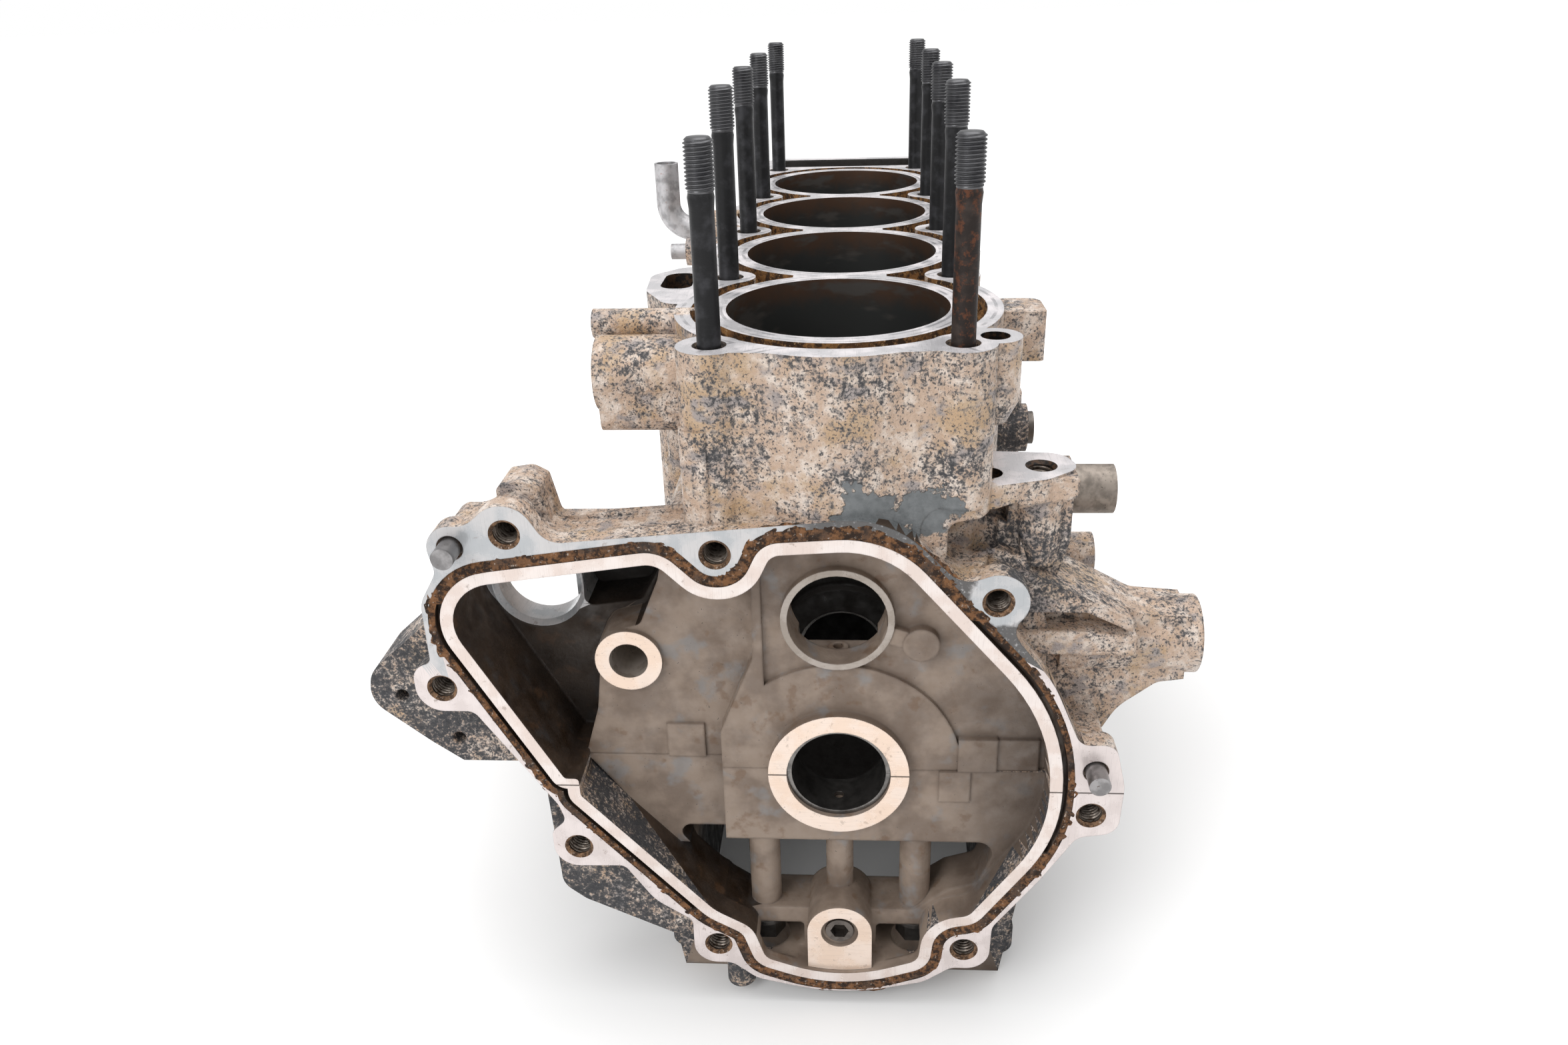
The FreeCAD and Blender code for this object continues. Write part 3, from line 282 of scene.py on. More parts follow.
dull_blue, dull_grey = (0.44, 0.455, 0.47), (0.60, 0.585, 0.585)
deck_face = milled_face(
    "milled_deck", (0.60, 0.585, 0.60), (0.78, 0.74, 0.75), "x", 0.25, under=gasket_imprint)
outer_land = milled_face("milled_flange_outside", dull_blue, dull_grey, "x", 0.35, over=burnt_edge)
back_face = milled_face("milled_back", dull_blue, dull_grey, "x", 0.35)
pink_land = milled_face(
    "milled_flange_lower", (0.66, 0.585, 0.565), (0.78, 0.70, 0.68), "x", 0.55, over=joint_line)
inner_land = milled_face(
    "milled_flange_inside", (0.72, 0.61, 0.555), (0.84, 0.76, 0.72), "x", 0.45, over=joint_line)
ring_face = milled_face(
    "milled_thrust_ring", (0.83, 0.650, 0.525), (0.88, 0.735, 0.635), "z", 0.30, over=joint_line)
# dark brown rim finish: oiled metal on the balancer bore's rim, and painted shade down the idler bore
rim_and_bore_shade_face = milled_face("oiled_rim_painted_bore_shade", (0.30, 0.255, 0.215), (0.42, 0.37, 0.33), "z", 0.30)

# ---------------------------------------------------------------------------
# Oily inner walls: front chamber, crank bays and chain tunnel.
# The same casting, kept from the weather by a film of old oil: warm grey-brown on the raised pads,
# with bluish patches of painted sheen; painted shade blends it to near-black from 22 to 60 mm behind
# the flange, and lays brown-black with tar streaks down the deep pocket and the slanting wall on the
# left.
# ---------------------------------------------------------------------------


def oiled_wall(name, thin, thick, tar, blue):
    wall = Finish(name)
    film = wall.blend(wall.step(wall.noise(19, 4), 0.38, 0.62), thin, thick)
    # painted sheen: bluish patches laid by noise stand in for highlights on the oil
    film = wall.spot(film, wall.step(wall.noise(13, 3), 0.56, 0.70), 0.55, blue)
    film = wall.spot(film, wall.step(wall.noise(8, 4), 0.58, 0.70), 0.5, tar)
    # darker and browner towards the lower right of the chamber
    right_side = wall.times(wall.step_mm(wall.x, 34, 70), wall.step_mm(wall.z, 62, 20))
    film = wall.spot(film, right_side, 0.72, (0.062, 0.044, 0.034))
    # painted shade: from 22 to 60 mm behind the flange the film blends into near-black
    film = wall.blend(wall.step_mm(wall.y, 22, 60), film, (0.030, 0.026, 0.023))
    specks = wall.step(wall.noise(1.5, 4, 0.7), 0.67, 0.72)
    film = wall.blend(specks, film, [c * 0.3 for c in thin])
    normal = wall.relief(wall.noise(1.6, 4), 0.25, 0.55, edge_mm=1.6)
    return wall.finish(film, wall.step(wall.noise(6, 3), 1.1, 0.05), normal)


inner_wall = oiled_wall(
    "oiled_inner_casting", thin=(0.188, 0.140, 0.108), thick=(0.292, 0.226, 0.178),
    tar=(0.15, 0.082, 0.042), blue=(0.225, 0.232, 0.240))
# painted shade: a near-black brown copy of the oily wall, with tar streaks, for the deep pocket and the
# sideways walls on the left
tar_and_shade_wall = oiled_wall(
    "tar_and_shade_pocket", thin=(0.028, 0.016, 0.009), thick=(0.055, 0.034, 0.021),
    tar=(0.11, 0.055, 0.026), blue=(0.050, 0.048, 0.048))

# ---------------------------------------------------------------------------
# Coolant jacket, cylinder bores, sealant track and tapped holes.
# The jacket is crusted with orange-brown scale; the bores are dark honed metal with a brown ring at
# the top; tapped holes are near-black inside, painted shade with brown oil patches, and rusty at the
# mouth.
# ---------------------------------------------------------------------------


def crusted(name, deep, mid, light, ash, size_mm, rough_mm):
    crust = Finish(name)
    colour = crust.blend(crust.step(crust.noise(size_mm, 5, 0.7), 0.42, 0.60), deep, mid)
    colour = crust.spot(colour, crust.step(crust.noise(size_mm * 4, 3), 0.52, 0.64), 0.7, ash)
    colour = crust.blend(crust.step(crust.noise(size_mm * 0.45, 4, 0.65), 0.60, 0.68), colour, light)
    return crust.finish(colour, 0.92, crust.relief(crust.noise(0.9, 5, 0.75), rough_mm, 1.0))


jacket = crusted(
    "scaled_coolant_jacket", deep=(0.050, 0.024, 0.010), mid=(0.36, 0.175, 0.055),
    light=(0.62, 0.42, 0.22), ash=(0.13, 0.060, 0.022), size_mm=3.0, rough_mm=0.8)
sealant = crusted(
    "rusted_sealant", deep=(0.030, 0.014, 0.007), mid=(0.290, 0.135, 0.056),
    light=(0.50, 0.41, 0.34), ash=(0.060, 0.048, 0.042), size_mm=3.4, rough_mm=0.9)
hole_mouth = crusted(
    "rusted_hole_mouth", deep=(0.060, 0.032, 0.017), mid=(0.27, 0.155, 0.085),
    light=(0.50, 0.40, 0.33), ash=(0.10, 0.060, 0.036), size_mm=2.0, rough_mm=0.2)


def honed_bore():
    bore = Finish("honed_bore")
    height = bore.plus(bore.z, bore.times(bore.noise(7, 4), 12 * MM))
    colour = bore.blend(bore.step_mm(height, 163, 176), (0.085, 0.088, 0.086), (0.170, 0.098, 0.064))
    wash = bore.step(bore.noise(24, 3, stretch=(1, 1, 3)), 0.52, 0.66)
    colour = bore.blend(wash, colour, (0.165, 0.150, 0.138))
    hone = bore.relief(bore.noise(0.5, 2, stretch=(0.15, 0.15, 1)), 0.03, 0.5)
    return bore.finish(colour, 0.36, hone, metallic=0.75)


# painted shade: the walls of holes and ports are near-black, with brown oil patches
def shaded_oily_hole():
    hole = Finish("shaded_oily_hole")
    oily = hole.step(hole.noise(2, 4), 0.45, 0.6)
    colour = hole.blend(oily, (0.014, 0.012, 0.011), (0.075, 0.042, 0.024))
    return hole.finish(colour, 0.5, hole.relief(hole.noise(0.8, 3), 0.15, 0.8), metallic=0.4)


bore_wall = honed_bore()
shaded_hole_wall = shaded_oily_hole()

# ---------------------------------------------------------------------------
# Upper and lower crankcase: each triangle takes the finish of the surface it lies on.
# The castings come as one piece each, so a surface is known by its place, in millimetres, and by the
# way it faces.
# ---------------------------------------------------------------------------
CHAMBER_SIDES = (  # straight sides just outside the front chamber, clockwise from the upper left
    (-151, 88), (-63, 99), (-49, 84), (-31, 84), (-24, 103), (18, 105), (84, 31), (84, -24), (53, -64),
    (36, -66), (35, -90), (0, -102), (-33, -90), (-37, -72), (-52, -64), (-104, -6),
)
COVER_HOLES = (
    (-115.5, 107.6), (-42.1, 100.0), (56.5, 81.5), (-147.3, 43.9), (-103.1, -30.1), (-49.8, -80.0),
    (50.5, -80.1), (95.8, -10.6),
)
STARTER_BORE = (-117.5, 67.5)
IDLER_BORE = (-80.2, 45.2)
BALANCER_BORE = (0, 67.8)
OILWAY = (53.6, 25.4)
EAR_HOLE = (73, 32)
DECK = 170
EAR_TOP = 120
BACK_FACE = 441
SUMP_FACE = -112
GROOVE_FLOOR = 4
TRACK_FLOOR = 0.4
JUST_OFF = 0.05
finishes = {
    "skin": cast_skin, "deck": deck_face, "outer_land": outer_land, "pink_land": pink_land,
    "inner_land": inner_land, "ring": ring_face, "inner": inner_wall, "tar_and_shade": tar_and_shade_wall,
    "jacket": jacket, "bore": bore_wall, "hole": shaded_hole_wall, "mouth": hole_mouth, "track": sealant,
    "rim": rim_and_bore_shade_face, "back": back_face,
}


def between(value, low, high):
    return (value > low) & (value < high)


def at(value, level, slack=0.1):
    return np.abs(value - level) < slack


def apart(x, z, place):
    return np.hypot(x - place[0], z - place[1])


def joined_patches(mesh, chosen):
    """Groups of the chosen triangles that share corners, each as a list of triangle numbers."""
    home = {}
    groups = []
    for index in chosen:
        corners = mesh.polygons[index].vertices
        met = {id(home[c]): home[c] for c in corners if c in home}
        group = max(met.values(), key=len) if met else [[], set()]
        if not met:
            groups.append(group)
        for other in met.values():
            if other is not group:
                group[0].extend(other[0])
                group[1] |= other[1]
                for c in other[1]:
                    home[c] = group
                other[0] = []
        group[0].append(index)
        group[1].update(corners)
        for c in corners:
            home[c] = group
    return [group[0] for group in groups if group[0]]


def chamber_sides():
    """Start and end of every side of the chamber."""
    return zip((CHAMBER_SIDES[-1], *CHAMBER_SIDES), CHAMBER_SIDES)


def in_outline(x, z):
    """True inside the chamber's sides."""
    inside = np.zeros(len(x), bool)
    for (x0, z0), (x1, z1) in chamber_sides():
        crossing = ((z0 > z) != (z1 > z)) & (x < (x1 - x0) * (z - z0) / (z1 - z0 + 1e-9) + x0)
        inside ^= crossing
    return inside


def by_the_sides(x, z):
    """True within 7 mm of the chamber's sides, where the seal groove and its walls are."""
    near = np.full(len(x), 1e9)
    for (x0, z0), (x1, z1) in chamber_sides():
        share = ((x - x0) * (x1 - x0) + (z - z0) * (z1 - z0)) / ((x1 - x0) ** 2 + (z1 - z0) ** 2)
        share = np.clip(share, 0, 1)
        near = np.minimum(near, np.hypot(x - x0 - share * (x1 - x0), z - z0 - share * (z1 - z0)))
    return near < 7


def chamber(piece, x, y, z, nx, ny, nz):
    """Triangles of the front chamber: inside its sides, and open to the front where that is in doubt."""
    inside = in_outline(x, z) & ((ny > -0.5) | (y > 8.1) | (z < 60) | (y < 2.3))

    def open_in_front(k):
        normal = Vector((nx[k], ny[k], nz[k]))
        start = (Vector((x[k], y[k], z[k])) + 0.4 * normal) * MM
        faces_a_wall = ny[k] < -0.3 or piece.ray_cast(start, normal)[0]
        return faces_a_wall and not piece.ray_cast(start, (0, -1, 0))[0]

    for k in np.flatnonzero(inside & (np.abs(x) > 56) & (y > 3)):
        inside[k] = open_in_front(k)
    turned_in = nz * (10 - z) - nx * x > 0
    lip = ~inside & between(y, 4.2, 30) & (z < 100) & by_the_sides(x, z) & turned_in
    for k in np.flatnonzero(lip):
        inside[k] = open_in_front(k)
    return inside


def lay_finishes(node):
    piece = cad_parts[node]
    mesh = piece.data
    count = len(mesh.polygons)
    centre = np.empty(count * 3)
    facing = np.empty(count * 3)
    mesh.polygons.foreach_get("center", centre)
    mesh.polygons.foreach_get("normal", facing)
    x, y, z = centre.reshape(-1, 3).T / MM
    nx, ny, nz = facing.reshape(-1, 3).T
    number = {surface: k for k, surface in enumerate(finishes)}
    zone = np.full(count, number["skin"])

    def lay(surface, where):
        zone[where] = number[surface]

    front, up = ny < -0.95, nz > 0.95
    below_deck = z < DECK - 0.1

    # oily rooms: front chamber, crank bays, chain tunnel and sump room
    inside = chamber(piece, x, y, z, nx, ny, nz)
    inner = inside & between(y, 0.3, 70)
    inner |= (np.abs(x) < 68.5) & between(y, 30, 436) & (z < 68.5)
    inner |= (np.abs(x) < 44.5) & between(y, 403, 435) & (z < DECK - 0.5)
    inner |= (np.abs(x) < 61.3) & between(y, 12, 436) & between(z, SUMP_FACE + 0.2, -60)
    lay("inner", inner)
    off_idler = apart(x, z, IDLER_BORE) > 14
    # painted shade: the deep pocket on the left and the chamber walls there that face sideways take the
    # near-black finish
    deep = inside & between(y, 22, 75) & (x < -66) & off_idler
    slanting = inside & (np.abs(ny) < 0.3) & between(y, 0.6, 40) & (x < -34) & off_idler & (z < 92)
    slanting &= (x < -97) | (z < -4)
    lay("tar_and_shade", deep | slanting)

    # cylinder block: coolant jacket and bores
    bore_number = np.clip(np.round((y - FIRST_BORE) / PITCH), 0, 3)
    from_bore = np.hypot(x, y - FIRST_BORE - PITCH * bore_number)
    in_block = (np.abs(x) < 60) & between(y, 11, 404) & below_deck
    lay("jacket", in_block & (z > 95) & between(from_bore, 48, 55.2) & (np.abs(x) < 55))
    lay("bore", in_block & (z > 51) & (from_bore < 41.8))

    # bores and holes
    lay("back", (apart(x, z, STARTER_BORE) < 20.3) & between(y, 37, 53))
    oilway = (apart(x, y, OILWAY) < 5.3) & (below_deck & (z > DECK - 24) | between(z, 106, EAR_TOP - 0.1))
    ear_hole = (apart(x, y, EAR_HOLE) < 5.6) & between(z, 88, EAR_TOP - 0.1)
    port = (np.abs(x + 65) < 6.9) & (np.abs(y - 108) < 13.5) & (z > DECK - 56) & below_deck
    lay("hole", oilway | ear_hole | port)
    # painted shade: the wall of the idler bore takes the dark brown rim finish
    lay("rim", (apart(x, z, IDLER_BORE) < 8.6) & between(y, 18.1, 60))

    # machined faces
    lay("deck", up & at(z, DECK))
    lay("deck", up & at(z, EAR_TOP, 0.2) & (x > 55) & (y < 50))
    lay("back", (ny > 0.95) & (y > BACK_FACE - 0.1))
    lay("back", (nz < -0.95) & (z < SUMP_FACE + 0.1))
    thrust_ring = at(y, 8.2) & (np.hypot(x, z) < 27.6)
    lay("ring", inside & front & (thrust_ring | at(y, 18) & (x < -60) | at(y, 2)))
    lay("rim", inside & front & at(y, 10.3, JUST_OFF) & (apart(x, z, BALANCER_BORE) < 21.5))

    # cover flange: lands on either side of the groove, sealant track, holes and groove
    lay("track", between(y, JUST_OFF, 4.2) & inner & ~inside)
    face = np.flatnonzero(front & (y < JUST_OFF))
    patches = joined_patches(mesh, [int(k) for k in face])
    widest = max(patches, key=lambda patch: np.ptp(x[patch]) if len(patch) > 1 else 0)
    lay("inner_land", face)
    upper = (z[widest] > 52) & (x[widest] < 70)
    zone[widest] = np.where(upper, number["outer_land"], number["pink_land"])
    lay("track", front & at(y, TRACK_FLOOR, JUST_OFF))
    bare = zone == number["skin"]
    groove = between(y, JUST_OFF, 4.1) & bare & (np.hypot(x, z) < 175) & ~inside
    for hole in COVER_HOLES:
        r = apart(x, z, hole)
        groove &= r > 6
        lay("hole", (r < 6) & between(y, JUST_OFF, 24))
        lay("mouth", (r < 6) & between(y, JUST_OFF, 1.3))
    bare = zone == number["skin"]
    # the walls and floor of the seal groove take the same near-black brown finish
    groove_wall = groove & (np.abs(ny) < 0.3)
    groove_floor = front & at(y, GROOVE_FLOOR, JUST_OFF) & bare
    lay("tar_and_shade", (groove_wall | groove_floor) & by_the_sides(x, z))

    mesh.materials.clear()
    for finish in finishes.values():
        mesh.materials.append(finish)
    mesh.polygons.foreach_set("material_index", zone.astype(np.int32))
    mesh.update()


for casting in ("upper_crankcase", "lower_crankcase"):
    lay_finishes(casting)

# ---------------------------------------------------------------------------
# Threads of the tapped holes.
# The cover's eight holes and the one in the right-hand ear show their turns: one dark ridge winds
# down each hole, with the crest worn bright.
# ---------------------------------------------------------------------------
TAPPED_R = 4.4 * MM
COARSE_PITCH = 1.5 * MM
COUNTERSINK = 1.3
RIDGE_SECTION = ((0.0, 0.04), (0.28, -0.62), (0.42, -0.62), (0.85, 0.04))  # (share of a turn, mm outward)


def sculpted(name, verts, faces, finish, smooth=True):
    """A piece made of the given corners and faces, linked into the scene."""
    mesh = bpy.data.meshes.new(name)
    mesh.from_pydata(verts, [], faces)
    mesh.update()
    mesh.materials.append(finish)
    for polygon in mesh.polygons:
        polygon.use_smooth = smooth
    piece = bpy.data.objects.new(name, mesh)
    bpy.context.scene.collection.objects.link(piece)
    return piece


def hole_thread(name, mouth, inward, depth, finish):
    """Helical ridge on the wall of a hole that starts at its mouth and runs inward."""
    inward = Vector(inward)
    across = inward.orthogonal().normalized()
    beside = inward.cross(across)
    sides = 30
    steps = int(depth / COARSE_PITCH * sides)
    verts = []
    for k in range(steps + 1):
        turn = 2 * math.pi * k / sides
        out = math.cos(turn) * across + math.sin(turn) * beside
        fade = min(1.0, k / sides, (steps - k) / sides)
        for share, rise in RIDGE_SECTION:
            along = (k / sides + share) * COARSE_PITCH
            radius = TAPPED_R + (rise * fade + 0.02) * MM
            verts.append(tuple(mouth + inward * along + out * radius))
    row = len(RIDGE_SECTION)
    faces = []
    for k in range(steps):
        for a in range(k * row, (k + 1) * row - 1):
            faces.append((a, a + 1, a + row + 1, a + row))
    piece = sculpted(name, verts, faces, finish)
    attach(piece, "root")


def worn_thread():
    thread = Finish("worn_thread")
    worn = thread.step(thread.noise(2, 4), 0.45, 0.66)
    colour = thread.blend(worn, (0.24, 0.205, 0.175), (0.055, 0.036, 0.024))
    return thread.finish(colour, 0.36, thread.relief(thread.noise(0.7, 3), 0.06, 0.6), metallic=0.55)


thread_steel = worn_thread()
for number, (hole_x, hole_z) in enumerate(COVER_HOLES, start=1):
    mouth = Vector((hole_x, COUNTERSINK, hole_z)) * MM
    hole_thread("cover_thread_%d" % number, mouth, (0, 1, 0), 17 * MM, thread_steel)
mouth = Vector((*EAR_HOLE, EAR_TOP - COUNTERSINK)) * MM
hole_thread("ear_thread", mouth, (0, 0, -1), 20 * MM, thread_steel)

# ---------------------------------------------------------------------------
# Sealant residue on the cover flange.
# Old gasket sealant, rusted and caked into a lumpy ridge with ragged edges, lies in the shallow track
# all round the chamber. It leaves the seal groove open on the left slope and on the right-hand side.
# ---------------------------------------------------------------------------
RESIDUE_CORNERS = (  # (x, z, radius) of the chamber's rounded outline, clockwise from the upper left
    (-148.2, 84.7, 17), (-63.4, 96.4, 9), (-49.4, 82.4, 17), (-30.9, 82.4, 17), (-22.8, 99.6, 5.5),
    (16.8, 102.0, 33), (79.6, 29.6, 78), (79.6, -21.3, 60), (51.8, -62.2, 6), (34.3, -65.3, 17),
    (32.1, -87.0, 6), (0.0, -98.6, 58), (-30.5, -87.3, 6), (-35.5, -71.0, 12), (-50.5, -62.0, 20),
    (-102.8, -1.0, 9),
)
OVER_GROOVE = 4.4
PAST_GROOVE = 6.9
TRACK_EDGE = 10.2


def along_corners(corners):
    """Straight runs joined by corner arcs, as a closed list of points."""
    route = []
    for k, (x, z, radius) in enumerate(corners):
        here = Vector((x, z))
        back = (Vector(corners[k - 1][:2]) - here).normalized()
        ahead = (Vector(corners[(k + 1) % len(corners)][:2]) - here).normalized()
        half = back.angle(ahead) / 2
        centre = here + (back + ahead).normalized() * radius / math.sin(half)
        first = here + back * radius / math.tan(half) - centre
        sweep = first.angle_signed(here + ahead * radius / math.tan(half) - centre)
        for share in range(9):
            turned = first.copy()
            turned.rotate(Matrix.Rotation(-sweep * share / 8, 2))
            route.append(centre + turned)
    route.append(route[0])
    return route


def rounded_path(corners, step):
    """Evenly spaced points along the rounded outline, with their outward directions."""
    route = along_corners(corners)
    points, left = [], 0.0
    for start, stop in zip(route, route[1:]):
        run = (stop - start).length
        while left < run:
            points.append(start.lerp(stop, left / run))
            left += step
        left -= run
    normals = []
    for k in range(len(points)):
        tangent = (points[(k + 2) % len(points)] - points[k - 2]).normalized()
        normals.append(Vector((-tangent.y, tangent.x)))
    return points, normals


def residue():
    points, normals = rounded_path(RESIDUE_CORNERS, 0.9)
    across = 9
    verts, faces = [], []
    for point, normal in zip(points, normals):
        slope = point.x < -44 and -62 < point.y < 78
        flank = point.x > 36 and -28 < point.y < 72
        arch = point.x > -30 and point.y > 74
        first = PAST_GROOVE if slope or flank else OVER_GROOVE
        spread = 2.2 * noise.noise(Vector((point.x, point.y, 3.0)) / 7)
        spread += 1.5 * noise.noise(Vector((point.x, point.y, 8.0)) / 2.4)
        if arch:
            spread += 1.3
        for row in range(across):
            share = row / (across - 1)
            reach = first + share * (TRACK_EDGE + spread - first)
            x, z = point + normal * reach
            lump = 0.5 + 0.5 * noise.fractal(Vector((x, 0.0, z)) / 2.6, 0.8, 2.1, 4)
            broad = 0.75 + 0.5 * noise.noise(Vector((x, 5.0, z)) / 9)
            crown = math.sin(math.pi * share) ** 0.6
            verts.append((x * MM, (0.48 - 1.5 * crown * lump * broad) * MM, z * MM))
    rows = len(points)
    for k in range(rows):
        for row in range(across - 1):
            a, b = k * across + row, (k + 1) % rows * across + row
            faces.append((a, a + 1, b + 1, b))
    piece = sculpted("sealant_residue", verts, faces, sealant)
    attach(piece, "root")


residue()

# ---------------------------------------------------------------------------
# Coolant scale.
# Rust and hard-water scale have broken up into orange-brown rubble that fills the open jacket round
# each barrel to a few millimetres below the deck.
# ---------------------------------------------------------------------------
BARREL_R = 48.2
JACKET_GAP = 6.9
STUD_CLEARANCE = 10.4
SCALE_LEVEL = 165.2
JOINED_BARRELS = (20, 392)
STUD_ROWS = ((42.25, 17.4), (45.1, 113), (45.1, 206), (45.1, 299), (42.25, 394.6))
STUD_SPOTS = [(side * spread, y) for side in (-1, 1) for spread, y in STUD_ROWS]


def coolant_scale(number, bore_y):
    """Ring of rubble round one barrel, cut off halfway to its neighbours and round the studs."""
    spokes, rings = 150, 6
    first, last = JOINED_BARRELS
    verts, keep = [], []
    for k in range(spokes):
        turn = 2 * math.pi * k / spokes
        for ring in range(rings):
            r = BARREL_R + JACKET_GAP * ring / (rings - 1)
            x, y = r * math.cos(turn), bore_y + r * math.sin(turn)
            lump = noise.fractal(Vector((x, y, number)) / 3.0, 0.7, 2.1, 4)
            heap = noise.noise(Vector((x, y, 9.0)) / 11)
            verts.append((x * MM, y * MM, (SCALE_LEVEL + 2.4 * lump + 2.6 * heap) * MM))
            nearest = abs(y - bore_y) < PITCH / 2 + 0.1 or not first < y < last
            clear = min(math.hypot(x - sx, y - sy) for sx, sy in STUD_SPOTS) > STUD_CLEARANCE
            keep.append(nearest and clear)
    faces = []
    for k in range(spokes):
        for ring in range(rings - 1):
            a, b = k * rings + ring, (k + 1) % spokes * rings + ring
            quad = (a, a + 1, b + 1, b)
            if all(keep[c] for c in quad):
                faces.append(quad)
    piece = sculpted("coolant_scale_%d" % number, verts, faces, jacket, smooth=False)
    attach(piece, "root")


for number in range(1, 5):
    coolant_scale(number, FIRST_BORE + PITCH * (number - 1))

# ---------------------------------------------------------------------------
# Head studs.
# Ten waisted M10 steel studs, black oxide, screwed into the block; the rolled thread at the top has
# bright worn crests, and the front right one is rusty along its shank.
# ---------------------------------------------------------------------------
THREAD_PITCH = 1.25 * MM
THREAD_LENGTH = 17 * MM
THREAD_R = 4.9 * MM
ROOT_R = 4.15 * MM
SHANK_R = 4.1 * MM
LOWER_R = 4.75 * MM
LOWER_LENGTH = 20 * MM
TIP_R = 3.5 * MM


def turned_steel(name, tint, rubbed, rust, share, rough):
    steel = Finish(name)
    colour = steel.blend(steel.step(steel.noise(7, 4), 0.45, 0.7), tint, rubbed)
    colour = steel.blend(steel.step(steel.noise(4.5, 5, 0.7), share, share + 0.12), colour, rust)
    turning = steel.noise(0.45, 2, stretch=(0.05, 0.05, 1))
    height = steel.plus(steel.times(turning, 1.4), steel.noise(0.9, 3))
    return steel.finish(colour, rough, steel.relief(height, 0.05, 0.7), metallic=0.6)


stud_steel = turned_steel(
    "black_oxide_stud", tint=(0.012, 0.012, 0.013), rubbed=(0.036, 0.036, 0.040),
    rust=(0.045, 0.026, 0.018), share=0.66, rough=0.40)
rusty_stud = turned_steel(
    "rusty_stud", tint=(0.020, 0.014, 0.012), rubbed=(0.050, 0.036, 0.030),
    rust=(0.105, 0.038, 0.018), share=0.50, rough=0.52)
thread_crest = turned_steel(
    "worn_stud_thread", tint=(0.105, 0.105, 0.110), rubbed=(0.055, 0.055, 0.060),
    rust=(0.075, 0.050, 0.040), share=0.68, rough=0.34)


def thread_radius(turns, share, below_tip):
    """Radius of the rolled thread, so many turns up, at this share of a turn and below the tip."""
    phase = (turns - share) % 1.0
    crest = 1 - abs(2 * phase - 1)
    crest = min(1.0, max(0.0, (crest - 0.12) / 0.70))
    fade = min(1.0, turns / 1.2)
    chamfer = min(1.0, below_tip / (1.3 * MM))
    r = ROOT_R + (THREAD_R - ROOT_R) * crest * fade
    return min(r, TIP_R + 1.4 * MM * chamfer)


def stud(node):
    low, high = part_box(node)
    cx, cy = (low.x + high.x) / 2, (low.y + high.y) / 2
    start = high.z - THREAD_LENGTH
    sides = 40
    verts = []

    def ring(z, radius_at):
        for k in range(sides):
            t = 2 * math.pi * k / sides
            r = radius_at(k / sides)
            verts.append((cx + r * math.cos(t), cy + r * math.sin(t), z))

    waist = (
        (low.z, 0.0), (low.z, LOWER_R), (low.z + LOWER_LENGTH, LOWER_R),
        (low.z + LOWER_LENGTH + 1 * MM, SHANK_R), (start - 5 * MM, SHANK_R),
        (start - 1.5 * MM, ROOT_R + 0.3 * MM),
    )
    for z, radius in waist:
        ring(z, lambda share: radius)
    steps = 8
    rows = int(THREAD_LENGTH / THREAD_PITCH * steps)
    for row in range(rows + 1):
        z = start + row * THREAD_PITCH / steps
        ring(z, lambda share: thread_radius(row / steps, share, high.z - z))
    faces = []
    rings = len(waist) + rows + 1
    for base in range(0, (rings - 1) * sides, sides):
        for k in range(sides):
            a, b = base + k, base + (k + 1) % sides
            faces.append((a, b, b + sides, a + sides))
    verts.append((cx, cy, high.z))
    top = (rings - 1) * sides
    for k in range(sides):
        faces.append((top + k, top + (k + 1) % sides, len(verts) - 1))
    shank_steel = rusty_stud if node == "head_stud_right_1" else stud_steel
    piece = sculpted(node + "_turned", verts, faces, shank_steel)
    piece.data.validate()
    piece.data.materials.append(thread_crest)
    for polygon in piece.data.polygons:
        polygon.material_index = int(polygon.center.z > start)
    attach(piece, "root")
    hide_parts(node)


for side in ("left", "right"):
    for row in range(1, 6):
        stud("head_stud_%s_%d" % (side, row))

# ---------------------------------------------------------------------------
# Small steel parts: dowels, plugs, bolts, coolant pipes, and the bearing shells.
# Ground or plated steel, and tin-aluminium bearing lining that still carries oil.
# ---------------------------------------------------------------------------


def plain_metal(name, tint, rough, specks):
    metal = Finish(name)
    colour = metal.blend(metal.step(metal.noise(5, 4), 0.4, 0.65), tint, [c * 0.6 for c in tint])
    colour = metal.blend(metal.step(metal.noise(1.4, 4, 0.7), 0.62, 0.70), colour, specks)
    normal = metal.relief(metal.noise(1.0, 3), 0.05, 0.6, edge_mm=0.3)
    return metal.finish(colour, rough, normal, metallic=0.85)


pipe_steel = plain_metal("chalky_pipe", (0.56, 0.55, 0.56), 0.55, (0.40, 0.27, 0.25))
small_parts = {  # by a word in the piece's name
    "flange_dowel": plain_metal("ground_dowel", (0.30, 0.29, 0.29), 0.34, (0.10, 0.08, 0.07)),
    "bolt": plain_metal("dark_bolt", (0.10, 0.095, 0.09), 0.45, (0.09, 0.045, 0.02)),
    "plug": plain_metal("oiled_plug", (0.16, 0.14, 0.125), 0.40, (0.06, 0.035, 0.02)),
    "main_shell": plain_metal("bearing_lining", (0.20, 0.19, 0.18), 0.25, (0.09, 0.07, 0.06)),
    "coolant_union": plain_metal("dusty_union", (0.40, 0.350, 0.305), 0.62, (0.060, 0.052, 0.048)),
    "coolant_elbow": pipe_steel,
    "vent_stub": pipe_steel,
}
for name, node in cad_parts.items():
    for word, finish in small_parts.items():
        if word in name:
            node.data.materials.clear()
            node.data.materials.append(finish)

# ---------------------------------------------------------------------------
# Studio: pale floor that fades into white away from the block, leaving a painted shadow round it, soft
# overhead light and one lamp at the front left.
# One camera stands at the block's front, above the flange.
# ---------------------------------------------------------------------------
SHADOW_FADE_CENTRE = (0, 0.21, 0)
SHADOW_FADE_START = 0.16
SHADOW_FADE_END = 0.36


